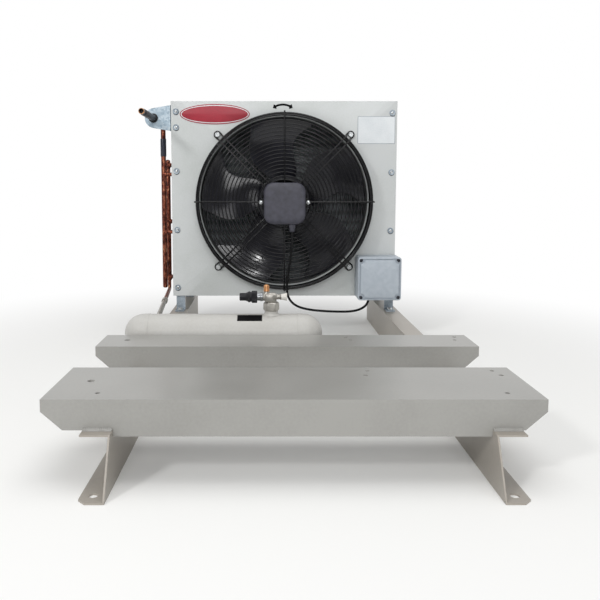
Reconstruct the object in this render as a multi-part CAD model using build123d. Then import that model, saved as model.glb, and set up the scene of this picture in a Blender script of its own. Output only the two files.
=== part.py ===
from build123d import *
from math import cos, radians, sin, sqrt, tan
import os

# Air-cooled refrigeration condenser on a compressor base frame, with a liquid receiver.
# Millimetres. X to the right, Y away from the viewer, Z up; the origin is on the floor, under the
# centre of the whole unit. The fan blows towards -Y.

# Flats that stand for round: many small pieces are prisms, to keep them light
orifice_sides = 40
round_sides = 24
collar_sides = 16
ring_sides = 16             # hoops; 0, 45 and 90 degrees meet the middles of its flats
small_sides = 12
tube_sides = 8
wire_sides = 5
corner_steps = 3            # flat steps round a corner of the cover and the box

# Base frame
sheet = 3.0                 # wall of rails and beams
beam_out_left = 114.0       # beams' left end, outside the left web's inner face
beam_out_right = 86.0
beam_lift = 50.0            # height of a beam's top above the rails
beam_skirt = 10.0           # how far a beam hangs down between the rails
beam_end_edge = 20.0        # height of a beam's square end, above its chamfer
beam_end_chamfer = 34.0
front_beam_depth = 180.0
front_beam_set = 65.0       # front face of the front beam, behind the rails' feet
rail_length = 1350.0
rail_height = 90.0
rail_inset = 40.0           # a web's inner face, inside the casing's side
rail_offset = 4.0           # middle of the rails, right of the casing's
rail_top_flange = 48.0
rail_foot_flange = 42.0
rail_rake = 45.0            # how far the foot reaches in front of the rail's top
foot_corner = 12.0
foot_hole_r = 7.0
foot_hole_in = 24.0         # from the rail's ends
foot_hole_side = 22.0       # from the web's inner face
weld_leg = 5.0

# Holes in the beam tops: the compressor's two foot patterns, and two pairs for switch gear
compressor_in = 147.5       # compressor's middle, from the beams' right end
wide_x = 240.0
wide_y = 289.0
wide_hole_r = 4.5
narrow_x = 226.0
narrow_y = 234.0
narrow_hole_r = 4.0
front_hole_edge = 21.5      # narrow holes, from the front beam's back
rear_hole_set = 57.5        # narrow holes, behind the rear beam's face
rear_hole_edge = 20.0       # wide holes, from the rear beam's back
post_in = 55.0              # from the beams' left end
post_front_edge = 82.0      # from the front beam's back
post_rear_set = 57.0        # behind the rear beam's face
post_hole_r = 6.5
tag_in_left = 83.0          # from the beams' ends
tag_in_right = 53.0
tag_set = 32.0              # behind the front beam's face
tag_hole_r = 4.0

# Casing
plate = 1.5                 # wall of the casing sheets
orifice_r = 254.0
orifice_side = 86.0         # from the orifice to the casing's sides
orifice_over = 46.0         # to its top
orifice_under = 36.0        # to its bottom
casing_depth = 258.0
casing_shift = 15.0
casing_behind = 42.0        # from the casing's back to the rails' ends
casing_lift = 45.0          # above the rails
casing_flange = 24.0
orifice_lip = 6.0
orifice_depth = 60.0

# Coil
tube_r = 6.35
tube_pitch = 31.75
row_pitch = 27.5
tube_rows = 3
circuits = 3
coil_gap = 7.75             # above and below the fins
end_plate = 2.0
bend_gap = 1.775            # between the right return bends and the side panel
bend_leg = 4.0
bend_corner = 7.0           # a return bend is a U with cut corners, to keep it light
header_r = 8.0
gas_header_drop = 5.0       # below the casing's bottom
gas_header_over = 12.125    # above the top tube
gas_header_out = 53.0       # header axis, left of the casing
liquid_header_out = 47.0
liquid_header_lift = 10.0   # above the casing's bottom
liquid_header_over = 18.875  # above the last circuit's stub
sleeve_wall = 1.5
sleeve_length = 58.0
sleeve_drop = 49.0          # below the inlet pipe

# Hot gas inlet pipe and its tab
gas_pipe_drop = 50.0        # below the casing's top
gas_pipe_reach = 187.0      # in front of the casing
gas_pipe_bare = 27.0
gas_pipe_bore = 18.0
pipe_wall = 1.0
tab_margin = 27.0           # of the tab, beyond the pipe's axis
tab_nose_r = 31.0
tab_height = 77.0
tab_sheet = 2.0
tab_return = 20.0
grommet_wall = 2.5
grommet_lip = 2.0
grommet_flange = 4.0

# Guard
wire = 3.0                  # the hoops
spoke = 5.0                 # the spokes' thicker wire
guard_depth = 72.0
ring_first_r = 54.0
ring_pitch = 10.8
shoulder_set = 7.0          # the shoulder hoop, inside the basket's side
basket_set = 1.0            # the basket's side, inside the orifice's mouth
side_ring_pitch = 12.0
side_ring_room = 11.0       # of the basket's depth, without side hoops
eye_out = 20.84             # an eye's middle, outside the basket
spoke_lap = 12.0            # a spoke's end, inside the hub plate's rim
spoke_gap = 16.0            # between the two wires of a double spoke
eye_bore = 7.0
hub_gap = 2.0               # between the hub plate and the first hoop
hub_plate_bore = 15.0

# Motor and fan
blade_count = 5
blade_depth = 60.0
blade_sheet = 2.5
blade_camber = 9.0
blade_steps = 4             # facets across a blade
blade_first_angle = 143.0
blade_set = 38.0            # front of the blades, behind the can's front
tip_gap = 4.0               # between the blades and the orifice
ring_wall = 8.0             # the blades' root ring
rotor_r = 69.5
rotor_set = 15.0            # front of the turning can, behind the hub plate
rotor_depth = 88.0
rotor_wall = 5.0
root_gap = 0.1
stator_gap = 9.5            # between the stator's flange and the can
stator_step = 5.0           # from the flange's rim down to the winding body
stator_flange = 10.0
stator_end = 14.0           # back of the winding body, in front of the can's back
bearing_r = 16.0
bearing_width = 9.0
bearing_set = 12.0          # front bearing, behind the can's front
bearing_end = 28.0          # rear bearing, in front of the can's back
shaft_r = 7.5
shaft_proud = 3.0           # past the front bearing
running_gap = 0.05
cover_width = 122.0
cover_depth = 30.0
cover_corner = 29.0
cover_edge = 6.0
cover_wall = 2.5
cover_drop = 4.0
strap_ear = 17.0            # past the cover's sides
strap_width = 22.0
gland_r = 9.0
gland_length = 22.0
gland_side = 22.0           # from the fan axis
gland_set = 16.5            # behind the cover's face
gland_taper = 4.0

# Junction box
box_size = 130.0
box_base = 53.0
box_lid = 17.0
box_corner = 8.0
box_wall = 3.0
box_gap = 9.0               # between the box and the guard's screw
box_lift = 62.0             # above the casing's bottom
entry_side = 26.0           # cable entry, left of the box's middle
entry_set = 33.0            # in front of the panel
grommet_box_r = 8.0
grommet_box_length = 5.0
terminal_length = 70.0
terminal_width = 22.0
terminal_height = 18.0

# Fan cable: its route is chosen by hand along the photographed line
cable_r = 3.5
cable_points = [
    (37.0, 286.5, 338.0),
    (37.0, 286.5, 304.0),
    (32.0, 292.5, 256.0),
    (25.5, 298.0, 210.0),
    (21.5, 299.3, 168.0),
    (27.5, 300.5, 138.0),
    (50.0, 304.5, 115.5),
    (88.0, 310.0, 104.0),
    (134.0, 316.0, 98.5),
    (178.0, 323.0, 95.5),
    (211.0, 329.0, 94.5),
    (237.0, 334.0, 97.5),
    (256.5, 338.0, 105.5),
    (268.0, 341.0, 117.0),
    (272.0, 342.0, 130.5),
]
tie_wall = 1.2
tie_gap = 1.0               # round the cable
tie_side = 6.5              # the cable there, right of the fan axis
tie_lift = 2.0              # above the basket's foot
tie_height = 4.0
cable_lie = 0.2             # between the cable and the spoke there

# Feet of the casing
foot_sheet = 3.0
foot_width = 27.0
foot_tread = 36.0
foot_inset = 12.0           # upright of a foot, behind the casing's edge
foot_side = 22.0            # centre of a foot, from the web's inner face
bolt_r = 4.0
bolt_room = 0.5             # round a bolt in its hole
bolt_across = 13.0
bolt_head = 5.5
bolt_nut = 6.5
washer_r = 8.0
washer = 1.6
bolt_tail = 6.0

# Receiver
receiver_r = 43.0
receiver_wall = 3.0
receiver_length = 341.0     # between the two weld seams
receiver_out = 27.0         # left seam, outside the left web's inner face
receiver_behind = 7.0       # gap between the rear beam and the shell
receiver_lift = 1.5         # gap between the rails and the shell
head_flange = 15.0
bracket_set = 4.0           # below the rails' top
bracket_width = 70.0
bracket_drop = 25.0
saddle_gap = 0.3
saddle_plate = 5.0
saddle_tread = 40.0
saddle_height = 22.0
saddle_in_left = 88.0       # saddles, from the seams
saddle_in_right = 78.0
boss_wall = 3.0
inlet_boss = 12.0
liquid_r = 6.0
liquid_in = 12.0            # where the line meets the shell, from its left seam
liquid_slope = 52.0         # where the line meets the shell, in degrees from its top
liquid_drop = 27.0          # below the liquid header
liquid_bend = 20.0
coupling_wall = 2.5
coupling_length = 44.0
coupling_place = 0.5        # along the line's straight run

# Shut-off valve on the receiver
valve_in = 60.0             # valve's axis, from the shell's right seam
valve_set = 3.0             # body's middle, left of the nut's axis
spud_wall = 7.0
spud_height = 8.5
spud_bore = 8.0
nut_across = 36.0
nut_height = 20.0
body_width = 32.0
body_depth = 28.0
body_height = 26.0
body_chamfer = 4.0
stem_lift = 12.0            # above the body's foot
stem_r = 4.0
stem_proud = 7.0            # past the spigot
stem_depth = 20.0           # inside the valve body
stem_square = 5.0
stem_square_length = 8.0
packing_across = 20.0
packing_length = 13.0
spigot_r = 8.0
spigot_length = 10.0
cap_gap = 0.3
cap_fit = 0.08
cap_wall = 6.0
cap_room = 8.0              # between the stem's end and the cap's
cap_nose_r = 9.0
cap_nose = 16.0
port_r = 6.0
port_length = 10.0
plug_across = 15.0
plug_length = 13.0
stub_r = 6.5
stub_length = 15.0
stub_in = 8.0               # from the body's left side

# Screws that show
screw_r = 5.0
screw_head = 3.0
screw_side = 15.0           # from the casing's edges
screw_rows = 4
left_screw_top = 31.0       # first screw, from the casing's top
left_screw_low = 26.0       # last screw, from its bottom
right_screw_top = 35.0
right_screw_low = 24.0
extra_screw_drop = 78.0     # one more on the left
guard_screw_across = 13.0
guard_screw_flange_r = 9.0
guard_screw_flange = 1.5
guard_screw_head = 6.0
lid_screw_r = 4.0
lid_screw_in = 9.0

# Places worked out from the sizes above
casing_left = casing_shift - orifice_r - orifice_side
casing_right = casing_shift + orifice_r + orifice_side
casing_bottom = rail_height + casing_lift
fan_x = casing_shift
fan_z = casing_bottom + orifice_under + orifice_r
casing_top = fan_z + orifice_r + orifice_over
rail_front = -rail_length / 2
rail_rear = rail_length / 2
left_web = casing_left + rail_inset + rail_offset
right_web = casing_right - rail_inset + rail_offset
casing_back = rail_rear - casing_behind
casing_front = casing_back - casing_depth
beam_left = left_web - beam_out_left
beam_right = right_web + beam_out_right
beam_top = rail_height + beam_lift
front_beam_y = rail_front + front_beam_set
front_beam_back = front_beam_y + front_beam_depth
compressor_x = beam_right - compressor_in
compressor_y = front_beam_back - front_hole_edge + narrow_y / 2
rear_beam_y = compressor_y + narrow_y / 2 - rear_hole_set
rear_beam_back = compressor_y + wide_y / 2 + rear_hole_edge
guard_face = casing_front - guard_depth
ring_face = guard_face + spoke
hub_face = ring_face + wire
side_ring_r = orifice_r + orifice_lip - basket_set
shoulder_r = side_ring_r - shoulder_set
ring_count = int((shoulder_r - ring_first_r) / ring_pitch)
side_ring_count = int((guard_depth - side_ring_room) / side_ring_pitch)
eye_at = side_ring_r + wire + eye_out
guard_screw_side = eye_at / sqrt(2)
hub_plate_r = ring_first_r - hub_gap
rotor_front = hub_face + rotor_set
rotor_rear = rotor_front + rotor_depth
blade_front = rotor_front + blade_set
bearing_front = rotor_front + bearing_set
bearing_rear = rotor_rear - bearing_end
stator_rear = rotor_rear - stator_end
stator_flange_r = rotor_r - rotor_wall - stator_gap
stator_r = stator_flange_r - stator_step
bend_room = bend_leg + tube_pitch / 2 + tube_r + bend_gap
coil_left = casing_left + end_plate
coil_right = casing_right - plate - bend_room - end_plate
coil_bottom = casing_bottom + plate + coil_gap
coil_top = casing_top - plate - coil_gap
circuit_tubes = 2 * int((coil_top - coil_bottom + 1) / (2 * circuits * tube_pitch))
coil_tubes = circuits * circuit_tubes
coil_depth = tube_rows * row_pitch
coil_back = casing_back - plate
coil_front = coil_back - coil_depth
gas_header_x = casing_left - gas_header_out
liquid_header_x = casing_left - liquid_header_out
liquid_header_bottom = casing_bottom + liquid_header_lift
sleeve_r = header_r + sleeve_wall
gas_pipe_z = casing_top - gas_pipe_drop
tab_front = casing_front + plate + plate
tab_reach = gas_header_out + tab_margin
grommet_r = sleeve_r + grommet_wall
bracket_top = rail_height - bracket_set
receiver_y = rear_beam_back + receiver_behind + receiver_r
receiver_z = rail_height + receiver_lift + receiver_r
receiver_left = left_web - receiver_out
receiver_right = receiver_left + receiver_length
strap_face = guard_face - wire
cover_face = strap_face - cover_depth
box_x = fan_x + guard_screw_side + guard_screw_flange_r + box_gap + box_size / 2
box_z = casing_bottom + box_lift
box_front = casing_front - box_base
lid_front = box_front - box_lid
valve_x = receiver_right - valve_in
spud_r = spud_bore + spud_wall
spud_top = receiver_z + receiver_r + spud_height
nut_top = spud_top + nut_height
body_top = nut_top + body_height
stem_z = nut_top + stem_lift
body_left = valve_x - body_width / 2 - valve_set
body_right = body_left + body_width
packing_left = body_left - packing_length


def save(shape, name):
    export_step(shape, "parts/" + name + ".step")
    return shape


def block(x0, x1, y0, y1, z0, z1):
    """A cuboid between two corners, in any order."""
    return Pos((x0 + x1) / 2, (y0 + y1) / 2, (z0 + z1) / 2) * Box(abs(x1 - x0), abs(y1 - y0), abs(z1 - z0))


def rod(start, end, radius):
    """A round bar from one point to another."""
    way = Vector(*end) - Vector(*start)
    return extrude(Plane(origin=start, z_dir=way.normalized()) * Circle(radius), amount=way.length)


def prism(start, end, sides, across):
    """A bar with flats, across its flats, from one point to another."""
    way = Vector(*end) - Vector(*start)
    return extrude(Plane(origin=start, z_dir=way.normalized()) * flats(across / 2, sides), amount=way.length)


def flats(radius, sides):
    """A polygon whose flats touch the circle of the radius."""
    return RegularPolygon(radius, sides, major_radius=False)


def patch(*corners):
    return Face(Wire.make_polygon(corners, close=True))


def faceted(rings):
    """A solid with flat facets between rings of points, and a flat end at each side."""
    faces = [patch(*rings[0]), patch(*rings[-1])]
    for low, high in zip(rings, rings[1:]):
        for i in range(len(low)):
            faces.append(patch(low[i - 1], low[i], high[i], high[i - 1]))
    return Solid(Shell(faces))


def rounded_square(size, corner):
    """A square whose corners turn in flat steps."""
    half = size / 2 - corner
    points = []
    for quarter, (i, j) in enumerate([(1, 1), (-1, 1), (-1, -1), (1, -1)]):
        for step in range(corner_steps + 1):
            angle = radians(90 * (quarter + step / corner_steps))
            points.append((i * half + corner * cos(angle), j * half + corner * sin(angle)))
    return make_face(Polyline(points, close=True))


def side_sheet(outline, x, thickness):
    """A flat sheet in the YZ plane, from x to x + thickness; the outline holds (y, z)."""
    face = make_face(Polyline([(x, y, z) for y, z in outline], close=True))
    return extrude(face, amount=thickness, dir=(1, 0, 0))


def front_sheet(outline, y, thickness):
    """A flat sheet in the XZ plane, from y to y + thickness; the outline holds (x, z)."""
    face = make_face(Polyline([(x, y, z) for x, z in outline], close=True))
    return extrude(face, amount=thickness, dir=(0, 1, 0))


def fan_plane(y, turn=0.0):
    """A plane square to the fan axis that faces the viewer, its X turned up from the right."""
    angle = radians(turn)
    return Plane(origin=(fan_x, y, fan_z), x_dir=(cos(angle), 0, sin(angle)), z_dir=(0, -1, 0))


# Base frame

def web_face(side):
    return left_web if side < 0 else right_web


def rail(side):
    """A C rail with its web upright and both flanges turned outwards, raked forward at its foot."""
    inner = web_face(side)
    top_front = rail_front + rail_rake
    web = side_sheet(
        [(rail_front, 0), (top_front, rail_height), (rail_rear, rail_height), (rail_rear, 0)],
        min(inner, inner + side * sheet), sheet)
    top = block(inner, inner + side * rail_top_flange, top_front, rail_rear, rail_height - sheet, rail_height)
    outer = inner + side * rail_foot_flange
    cut = outer - side * foot_corner
    outline = [(inner, rail_front, 0), (cut, rail_front, 0), (outer, rail_front + foot_corner, 0),
               (outer, rail_rear, 0), (inner, rail_rear, 0)]
    foot = extrude(make_face(Polyline(outline, close=True)), amount=sheet, dir=(0, 0, 1))
    body = web + top + foot
    hole_x = inner + side * foot_hole_side
    for y in (rail_front + foot_hole_in, rail_rear - foot_hole_in):
        body -= rod((hole_x, y, -1), (hole_x, y, sheet + 1), foot_hole_r)
    for x, y in foot_bolt_places():
        if (x - inner) * side > 0:
            low = (x, y, rail_height - 2 * sheet)
            body -= prism(low, (x, y, rail_height + 1), tube_sides, 2 * (bolt_r + bolt_room))
    return body


def beam_holes():
    """The round holes through the two beam tops, as (x, y, radius)."""
    holes = []
    for i in (-1, 1):
        for j in (-1, 1):
            holes.append((compressor_x + i * wide_x / 2, compressor_y + j * wide_y / 2, wide_hole_r))
            holes.append((compressor_x + i * narrow_x / 2, compressor_y + j * narrow_y / 2, narrow_hole_r))
    holes.append((beam_left + post_in, front_beam_back - post_front_edge, post_hole_r))
    holes.append((beam_left + post_in, rear_beam_y + post_rear_set, post_hole_r))
    return holes


def cross_beam(front, back):
    """An inverted U of bent sheet with chamfered ends, let down between the rails."""
    top = block(beam_left, beam_right, front, back, beam_top - sheet, beam_top)
    drop = rail_height - beam_skirt
    shoulder = beam_top - beam_end_edge
    face = [(beam_left, beam_top), (beam_left, shoulder), (beam_left + beam_end_chamfer, rail_height),
            (web_face(-1), rail_height), (web_face(-1), drop), (web_face(1), drop),
            (web_face(1), rail_height), (beam_right - beam_end_chamfer, rail_height),
            (beam_right, shoulder), (beam_right, beam_top)]
    beam = top + front_sheet(face, front, sheet) + front_sheet(face, back - sheet, sheet)
    low = beam_top - sheet - 1
    high = beam_top + 1
    for x, y, radius in beam_holes():
        if front < y < back:
            beam -= rod((x, y, low), (x, y, high), radius)
    return beam


def front_beam():
    """The wide beam in front, with two more small holes near its ends."""
    beam = cross_beam(front_beam_y, front_beam_back)
    y = front_beam_y + tag_set
    for x in (beam_left + tag_in_left, beam_right - tag_in_right):
        beam -= prism((x, y, beam_top - sheet - 1), (x, y, beam_top + 1), tube_sides, 2 * tag_hole_r)
    return beam


def beam_welds():
    """Fillet welds along the beams' faces, on the rails' top flanges."""
    beads = []
    for front, back in ((front_beam_y, front_beam_back), (rear_beam_y, rear_beam_back)):
        for y, way in ((front, -1), (back, 1)):
            for side in (-1, 1):
                x = web_face(side)
                outline = [(y, rail_height), (y + way * weld_leg, rail_height), (y, rail_height + weld_leg)]
                start = min(x, x + side * rail_top_flange)
                beads.append(side_sheet(outline, start, rail_top_flange))
    return Compound(beads)


def receiver_bracket():
    """A hat strip between the two webs that carries the receiver's saddles."""
    left = web_face(-1)
    right = web_face(1)
    front = receiver_y - bracket_width / 2
    back = receiver_y + bracket_width / 2
    top = block(left, right, front, back, bracket_top - sheet, bracket_top)
    low = bracket_top - bracket_drop
    skirts = block(left, right, front, front + sheet, low, bracket_top)
    skirts += block(left, right, back - sheet, back, low, bracket_top)
    return top + skirts


# Casing

def funnel(front, front_r, back, back_r):
    """A frustum with many flats round the fan axis, between two depths."""
    mouth = fan_plane(front) * flats(front_r, orifice_sides)
    throat = fan_plane(back) * flats(back_r, orifice_sides)
    return loft([mouth, throat], ruled=True)


def front_panel():
    """The fan panel: a plate with the orifice drawn inwards to a collar."""
    panel = block(casing_left, casing_right, casing_front, casing_front + plate, casing_bottom, casing_top)
    bend = casing_front + orifice_lip
    end = casing_front + orifice_depth
    mouth_r = orifice_r + orifice_lip
    panel += funnel(casing_front, mouth_r + plate, bend, orifice_r + plate)
    panel += funnel(bend, orifice_r + plate, end, orifice_r + plate)
    panel -= funnel(casing_front, mouth_r, bend, orifice_r)
    return panel - funnel(bend, orifice_r, end, orifice_r)


def casing_cover(level, way):
    """Top or bottom sheet with a flange behind the front panel; way is where its flange goes."""
    inside = level + way * plate
    front = casing_front + plate
    sheet_body = block(casing_left, casing_right, front, casing_back, level, inside)
    flange = block(casing_left, casing_right, front, front + plate, level, level + way * casing_flange)
    return sheet_body + flange


def side_panel(edge, way, back):
    """Side sheet with a flange behind the front panel; way is where its flange goes."""
    low = casing_bottom + casing_flange
    high = casing_top - casing_flange
    front = casing_front + plate
    web = block(edge, edge + way * plate, front + plate, back, casing_bottom + plate, casing_top - plate)
    flange = block(edge, edge + way * casing_flange, front, front + plate, low, high)
    return web + flange


def casing_feet():
    """Four Z feet of galvanised strip between the rails and the casing's bottom."""
    feet = []
    for side in (-1, 1):
        x = web_face(side) + side * foot_side
        for y, way in ((casing_front + foot_inset, -1), (casing_back - foot_inset, 1)):
            near = x - foot_width / 2
            far = x + foot_width / 2
            tread = block(near, far, y, y + way * foot_tread, rail_height, rail_height + foot_sheet)
            upright = block(near, far, y, y - way * foot_sheet, rail_height, casing_bottom)
            head = block(near, far, y, y - way * foot_tread, casing_bottom - foot_sheet, casing_bottom)
            foot = tread + upright + head
            bolt_y = y + way * foot_tread / 2
            low = (x, bolt_y, rail_height - 1)
            high = (x, bolt_y, rail_height + 2 * foot_sheet)
            feet.append(foot - prism(low, high, tube_sides, 2 * (bolt_r + bolt_room)))
    return Compound(feet)


def foot_bolt_places():
    places = []
    for side in (-1, 1):
        x = web_face(side) + side * foot_side
        for y, way in ((casing_front + foot_inset, -1), (casing_back - foot_inset, 1)):
            places.append((x, y + way * foot_tread / 2))
    return places


def foot_bolts():
    """Hexagon bolts with washers and nuts, through the feet and the rails' top flanges."""
    bolts = []
    for x, y in foot_bolt_places():
        seat = rail_height + foot_sheet
        under = rail_height - sheet
        bolt = prism((x, y, seat), (x, y, seat + washer), tube_sides, 2 * washer_r)
        bolt += prism((x, y, seat + washer), (x, y, seat + washer + bolt_head), 6, bolt_across)
        bolt += prism((x, y, under), (x, y, under - bolt_nut), 6, bolt_across)
        bolt += prism((x, y, seat + washer), (x, y, under - bolt_nut - bolt_tail), tube_sides, 2 * bolt_r)
        bolts.append(bolt)
    return Compound(bolts)


def screw_head_on(x, y, z, radius, depth):
    return prism((x, y, z), (x, y - depth, z), tube_sides, 2 * radius)


def panel_screws():
    """Pan heads along both edges of the front panel."""
    left = casing_left + screw_side
    right = casing_right - screw_side
    heads = [screw_head_on(left, casing_front, casing_top - extra_screw_drop, screw_r, screw_head)]
    for x, top, low in ((left, left_screw_top, left_screw_low), (right, right_screw_top, right_screw_low)):
        first = casing_top - top
        step = (first - casing_bottom - low) / (screw_rows - 1)
        for i in range(screw_rows):
            z = first - i * step
            if not behind_box(x, z):
                heads.append(screw_head_on(x, casing_front, z, screw_r, screw_head))
    return Compound(heads)


def behind_box(x, z):
    half = box_size / 2 + screw_r
    return abs(x - box_x) < half and abs(z - box_z) < half


# Coil

def tube_y(row):
    return coil_front + row_pitch * (row + 0.5)


def tube_z(tube):
    return (coil_bottom + coil_top) / 2 + tube_pitch * (tube + 0.5 - coil_tubes / 2)


def fin_pack():
    """The stack of fins with its tubes, as one block."""
    return block(coil_left, coil_right, coil_front, coil_back, coil_bottom, coil_top)


def coil_end_plate(x):
    """Tube sheet between the casing's top and bottom, with a lip that faces the fan."""
    low = casing_bottom + plate
    high = casing_top - plate
    return block(x, x + end_plate, coil_front - end_plate, casing_back, low, high)


def bend(x, way, y0, z0, y1, z1):
    """A return bend that leaves the end plate at x and joins two tube ends."""
    middle = Vector(x, (y0 + y1) / 2, (z0 + z1) / 2)
    along = Vector(0, y1 - y0, z1 - z0)
    reach = along.length / 2 + tube_r
    near = along.length / 2 - tube_r
    far = bend_leg + reach
    inner = far - 2 * tube_r
    plane = Plane(origin=middle, x_dir=(way, 0, 0), z_dir=Vector(way, 0, 0).cross(along).normalized())
    outline = [(0, reach), (far - bend_corner, reach), (far, reach - bend_corner), (far, bend_corner - reach),
               (far - bend_corner, -reach), (0, -reach), (0, -near), (inner, -near), (inner, near), (0, near)]
    return extrude(plane * make_face(Polyline(outline, close=True)), amount=tube_r, both=True)


def return_bends_right():
    x = coil_right + end_plate
    bends = []
    for row in range(tube_rows):
        for tube in range(0, coil_tubes, 2):
            bends.append(bend(x, 1, tube_y(row), tube_z(tube), tube_y(row), tube_z(tube + 1)))
    return Compound(bends)


def return_bends_left():
    """Bends up each row of a circuit, and the cross bends that pass it on to the next row."""
    x = casing_left
    bends = []
    for circuit in range(circuits):
        first = circuit * circuit_tubes
        last = first + circuit_tubes - 1
        for row in range(tube_rows):
            for tube in range(first + 1, last, 2):
                bends.append(bend(x, -1, tube_y(row), tube_z(tube), tube_y(row), tube_z(tube + 1)))
        for row in range(tube_rows - 1):
            level = first if row % 2 == 0 else last
            bends.append(bend(x, -1, tube_y(row), tube_z(level), tube_y(row + 1), tube_z(level)))
    return Compound(bends)


def gas_header():
    """The upright hot gas pipe with capped ends and the stubs that feed each circuit's top tube."""
    y = tube_y(0)
    low = (gas_header_x, y, casing_bottom - gas_header_drop)
    high = (gas_header_x, y, tube_z(coil_tubes - 1) + gas_header_over)
    stubs = [prism(low, high, collar_sides, 2 * header_r)]
    for circuit in range(circuits):
        z = tube_z(circuit * circuit_tubes + circuit_tubes - 1)
        stubs.append(prism((gas_header_x + header_r, y, z), (casing_left, y, z), tube_sides, 2 * tube_r))
    return Compound(stubs)


def liquid_header():
    """The upright liquid pipe with the stubs from each circuit's bottom tube."""
    y = tube_y(tube_rows - 1)
    x = liquid_header_x
    high = tube_z(coil_tubes - circuit_tubes) + liquid_header_over
    stubs = [prism((x, y, liquid_header_bottom), (x, y, high), collar_sides, 2 * header_r)]
    for circuit in range(circuits):
        z = tube_z(circuit * circuit_tubes)
        stubs.append(prism((x + header_r, y, z), (casing_left, y, z), tube_sides, 2 * tube_r))
    return Compound(stubs)


def gas_sleeve():
    """The joining sleeve round the hot gas pipe."""
    y = tube_y(0)
    ring = round_ring(sleeve_r, header_r + running_gap)
    low = gas_pipe_z - sleeve_drop - sleeve_length
    return extrude(Plane(origin=(gas_header_x, y, low)) * ring, amount=sleeve_length)


def gas_inlet_pipe():
    """The hot gas pipe that comes forward through the tab, thickly coated behind its bare end."""
    x = gas_header_x
    z = gas_pipe_z
    mouth = casing_front - gas_pipe_reach
    coat = mouth + gas_pipe_bare
    coat_end = tab_front + tab_return
    pipe = rod((x, mouth, z), (x, coat, z), header_r)
    pipe += prism((x, coat, z), (x, coat_end, z), collar_sides, 2 * sleeve_r)
    pipe += prism((x, coat_end, z), (x, tube_y(0) - header_r, z), collar_sides, 2 * header_r)
    bore = 2 * (header_r - pipe_wall)
    return pipe - prism((x, mouth, z), (x, mouth + gas_pipe_bore, z), collar_sides, bore)


def inlet_tab():
    """A rounded tab on the casing's left side that steadies the hot gas pipe."""
    plane = Plane(origin=(casing_left, tab_front, gas_pipe_z), x_dir=(1, 0, 0), z_dir=(0, -1, 0))
    half = tab_height / 2
    outline = [(0, -half), (0, half)]
    for angle in (105, 135, 165, 195, 225, 255):
        turn = radians(angle)
        outline.append((tab_nose_r - tab_reach + tab_nose_r * cos(turn), tab_nose_r * sin(turn)))
    face = make_face(Polyline(outline, close=True))
    hole = Pos(gas_header_x - casing_left, 0) * flats(grommet_r, collar_sides)
    tab = extrude(plane * (face - hole), amount=-tab_sheet)
    low = gas_pipe_z - half
    high = gas_pipe_z + half
    back = tab_front + tab_sheet + tab_return
    return tab + block(casing_left - tab_sheet, casing_left, tab_front, back, low, high)


def tab_grommet():
    """A rubber grommet in the tab, round the pipe."""
    plane = Plane(origin=(gas_header_x, tab_front, gas_pipe_z), x_dir=(1, 0, 0), z_dir=(0, -1, 0))
    bore = sleeve_r + running_gap
    flange = extrude(plane * round_ring(grommet_r + grommet_lip, bore), amount=grommet_flange)
    return flange + extrude(plane * round_ring(grommet_r - running_gap, bore), amount=-tab_sheet)


# Guard and motor

def round_ring(outer, inner, sides=collar_sides):
    """A ring with flats, measured across them."""
    return flats(outer, sides) - flats(inner, sides)


def hoop(radius, y):
    """One hoop of three-sided wire: a flat in front and one round its outside, as wide as the wire."""
    turns = [360 / ring_sides * (i + 0.5) for i in range(ring_sides)]
    ways = [Vector(cos(radians(a)), 0, sin(radians(a))) / cos(radians(180 / ring_sides)) for a in turns]
    loops = []
    for reach, depth in ((radius, y), (radius + wire, y), (radius + wire, y + wire)):
        loops.append([Vector(fan_x, depth, fan_z) + way * reach for way in ways])
    faces = []
    for a, b in zip(loops, loops[1:] + loops[:1]):
        for i in range(ring_sides):
            faces.append(patch(a[i - 1], a[i], b[i], b[i - 1]))
    return Solid(Shell(faces))


def guard_front_rings():
    hoops = [hoop(ring_first_r + ring_pitch * i, ring_face) for i in range(ring_count)]
    return Compound(hoops + [hoop(shoulder_r, ring_face)])


def guard_side_rings():
    last = casing_front - wire - side_ring_pitch / 2
    return Compound([hoop(side_ring_r, last - side_ring_pitch * i) for i in range(side_ring_count)])


def spoke_wire(turn, side, back):
    """A wire that runs out over the rings and back along the basket's side."""
    leg = side_ring_r + wire
    start = hub_plate_r - spoke_lap
    plane = fan_plane(guard_face, turn)
    front = Pos((start + leg + spoke) / 2, side) * Rectangle(leg + spoke - start, spoke)
    shank = Pos(leg + spoke / 2, side) * Rectangle(spoke, spoke)
    return extrude(plane * front, amount=-spoke) + extrude(plane * shank, amount=-(back - guard_face))


def double_spoke(turn):
    """Two wires that end in one loop round their screw on the panel."""
    inner = side_ring_r + wire
    plane = fan_plane(casing_front, turn)
    pair = spoke_wire(turn, spoke_gap / 2, casing_front) + spoke_wire(turn, -spoke_gap / 2, casing_front)
    loop = Pos(eye_at, 0) * round_ring(eye_bore + spoke, eye_bore, tube_sides)
    for side in (-1, 1):
        loop += Pos((inner + eye_at) / 2, side * (eye_bore + spoke / 2)) * Rectangle(eye_at - inner, spoke)
    loop -= Pos((inner + eye_at) / 2, 0) * Rectangle(eye_at - inner, 2 * eye_bore)
    return pair + extrude(plane * loop, amount=spoke)


def guard_spokes():
    last_ring = casing_front - side_ring_pitch / 2
    singles = [spoke_wire(90 * i, 0, last_ring) for i in range(4)]
    return Compound(singles + [double_spoke(45 + 90 * i) for i in range(4)])


def guard_hub_plate():
    """The disc at the guard's centre that the motor hangs on."""
    return extrude(fan_plane(ring_face) * round_ring(hub_plate_r, hub_plate_bore), amount=-wire)


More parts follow.
